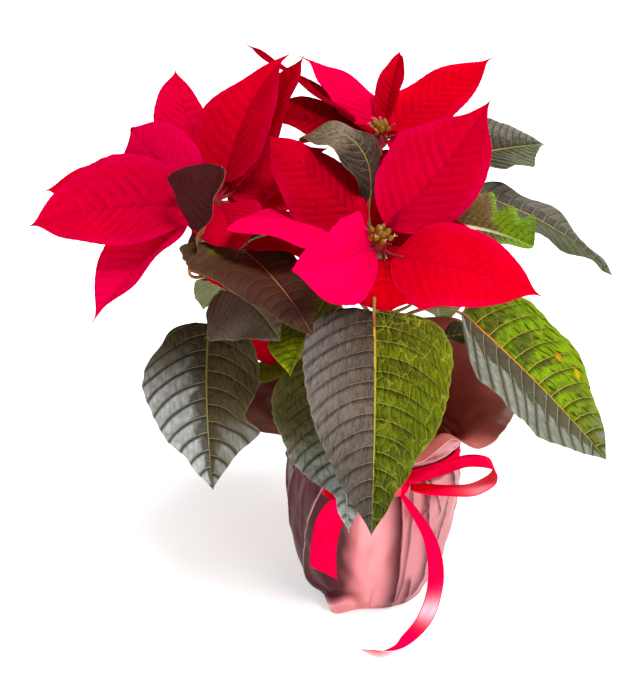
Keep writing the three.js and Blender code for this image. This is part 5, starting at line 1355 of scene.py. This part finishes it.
# An egg that lies along +X, each ring times 1 + 0.07 sin(5 turn), less a crease where sin(turn - 1)
# is 0.
def makeKnot(material):
    shell = Shell()
    polar = np.linspace(0.03, np.pi - 0.03, 48)
    sides = 72
    turn = circle(sides)[None, :]
    creases = 0.07 * np.sin(5 * turn + 2.2 * polar[:, None]) - 0.05 * bell(np.sin(turn - 1), 0.2)
    rings = latheRings(np.zeros(3), np.array((1.0, 0, 0)), np.sin(polar), -np.cos(polar), sides,
                       creases * np.sin(polar)[:, None])
    rings = rings * (np.array(knot["size"]) / 2 - 0.25) + knot["centre"]
    flat = np.stack(np.broadcast_arrays(turn, polar[:, None] * 0.5), -1).reshape(-1, 2)
    # a faint painted highlight all over the knot
    addRings(shell, rings, dict(flat=flat, glint=(0.1,)))
    shell.make("ribbon_knot_satin", ("ribbon_knot",), "ribbon", material)


# A flat hoop: its outer side is drawn in towards both edges by 0.25 (2 share - 1)^6.
def makeBand(material):
    shell = Shell()
    sides, rows = 240, 15
    turn = circle(sides)
    share = np.concatenate((np.linspace(0, 1, rows), np.linspace(1, 0, rows)))
    side = np.repeat((1.0, 0.0), rows)
    radius = band["inside"] + side * band["thickness"] - 0.25 * np.abs(2 * share - 1) ** 6 * side
    height = band["low"] + (band["high"] - band["low"]) * share
    rings = latheRings(np.zeros(3), up, radius, height, sides)
    pull = 1 + 0.002 * np.sin(40 * turn)[None, :] * np.sin(np.pi * share)[:, None]
    rings[..., :2] *= pull[..., None]
    flat = np.stack(np.broadcast_arrays(turn[None, :] * 6.6, 2 * share[:, None] - 1), -1).reshape(-1, 2)
    addRings(shell, rings, dict(flat=flat, glint=(0,)), loop=True)
    piece = shell.make("ribbon_band_satin", ("ribbon_band",), "ribbon", material)


satin = ribbonMaterial()
for name, path in strips.items():
    makeStrip(name, path, satin)
makeKnot(satin)
makeBand(satin)
print("ribbon made")

floorSize = 400


# A pale floor that glows a little, so that it ends in white.
def makeFloor():
    half = floorSize / 2
    mesh = bpy.data.meshes.new("floor")
    corners = ((-half, -half, 0), (half, -half, 0), (half, half, 0), (-half, half, 0))
    mesh.from_pydata(corners, [], [(0, 1, 2, 3)])
    paint = Paint("pale_floor")
    glow = {"Emission Color": (1, 1, 1, 1), "Emission Strength": 0.3}
    mesh.materials.append(paint.finish(paint.surface((0.9, 0.9, 0.9), 0.9, gloss=0.1, **glow)))
    piece = bpy.data.objects.new("floor", mesh)
    scene.collection.objects.link(piece)
    return piece


# Lamps: place, what they face, how soft (a panel's size in metres or a far lamp's spread in
# degrees), power and colour. The floor has a softer lamp of its own, so that its shadow stays short.
lamps = dict(
    key=dict(kind="AREA", place=(0.42, 0.4, 0.85), facing=(0, 0, 0.22), soft=0.4, power=6,
             colour=(1, 0.97, 0.9), state="EXCLUDE"),
    fill=dict(kind="SUN", place=(0.67, -0.74, 1.6), facing=(0, 0, 0), soft=24, power=2.8,
              colour=(1, 1, 0.99), state="EXCLUDE"),
    floor=dict(kind="SUN", place=(0.67, -0.74, 1.75), facing=(0, 0, 0), soft=44, power=5.2,
               colour=(1, 1, 1), state="INCLUDE"),
    left=dict(kind="AREA", place=(-0.66, -0.12, 0.42), facing=(-0.32, 0, 0), soft=0.5, power=3,
              colour=(1, 1, 1), state="INCLUDE"))


# A lamp turns its +Z away from what it faces. Its light falls on the floor alone, or on all else.
def makeLamps(floor):
    for name, lamp in lamps.items():
        data = bpy.data.lights.new(name, lamp["kind"])
        data.energy = lamp["power"]
        data.color = lamp["colour"]
        piece = bpy.data.objects.new(name, data)
        if lamp["kind"] == "SUN":
            data.angle = np.radians(lamp["soft"])
        else:
            data.shape = "DISK"
            data.size = lamp["soft"]
        lit = bpy.data.collections.new(name + "_lights")
        lit.objects.link(floor)
        lit.collection_objects[0].light_linking.link_state = lamp["state"]
        piece.light_linking.receiver_collection = lit
        piece.location = lamp["place"]
        away = Vector(lamp["place"]) - Vector(lamp["facing"])
        piece.rotation_euler = away.to_track_quat("Z", "Y").to_euler()
        scene.collection.objects.link(piece)


# The world lights the plant softly and shows white past the floor's far edge.
def makeWorld():
    world = bpy.data.worlds.new("studio")
    world.use_nodes = True
    tree = world.node_tree
    background = tree.nodes["Background"]
    background.inputs["Color"].default_value = (1, 1, 1, 1)
    path = tree.nodes.new("ShaderNodeLightPath")
    strength = tree.nodes.new("ShaderNodeMapRange")
    strength.inputs["To Min"].default_value = 0.3
    strength.inputs["To Max"].default_value = 1
    tree.links.new(path.outputs["Is Camera Ray"], strength.inputs["Value"])
    tree.links.new(strength.outputs["Result"], background.inputs["Strength"])
    scene.world = world


makeLamps(makeFloor())
makeWorld()
print("floor and light made")
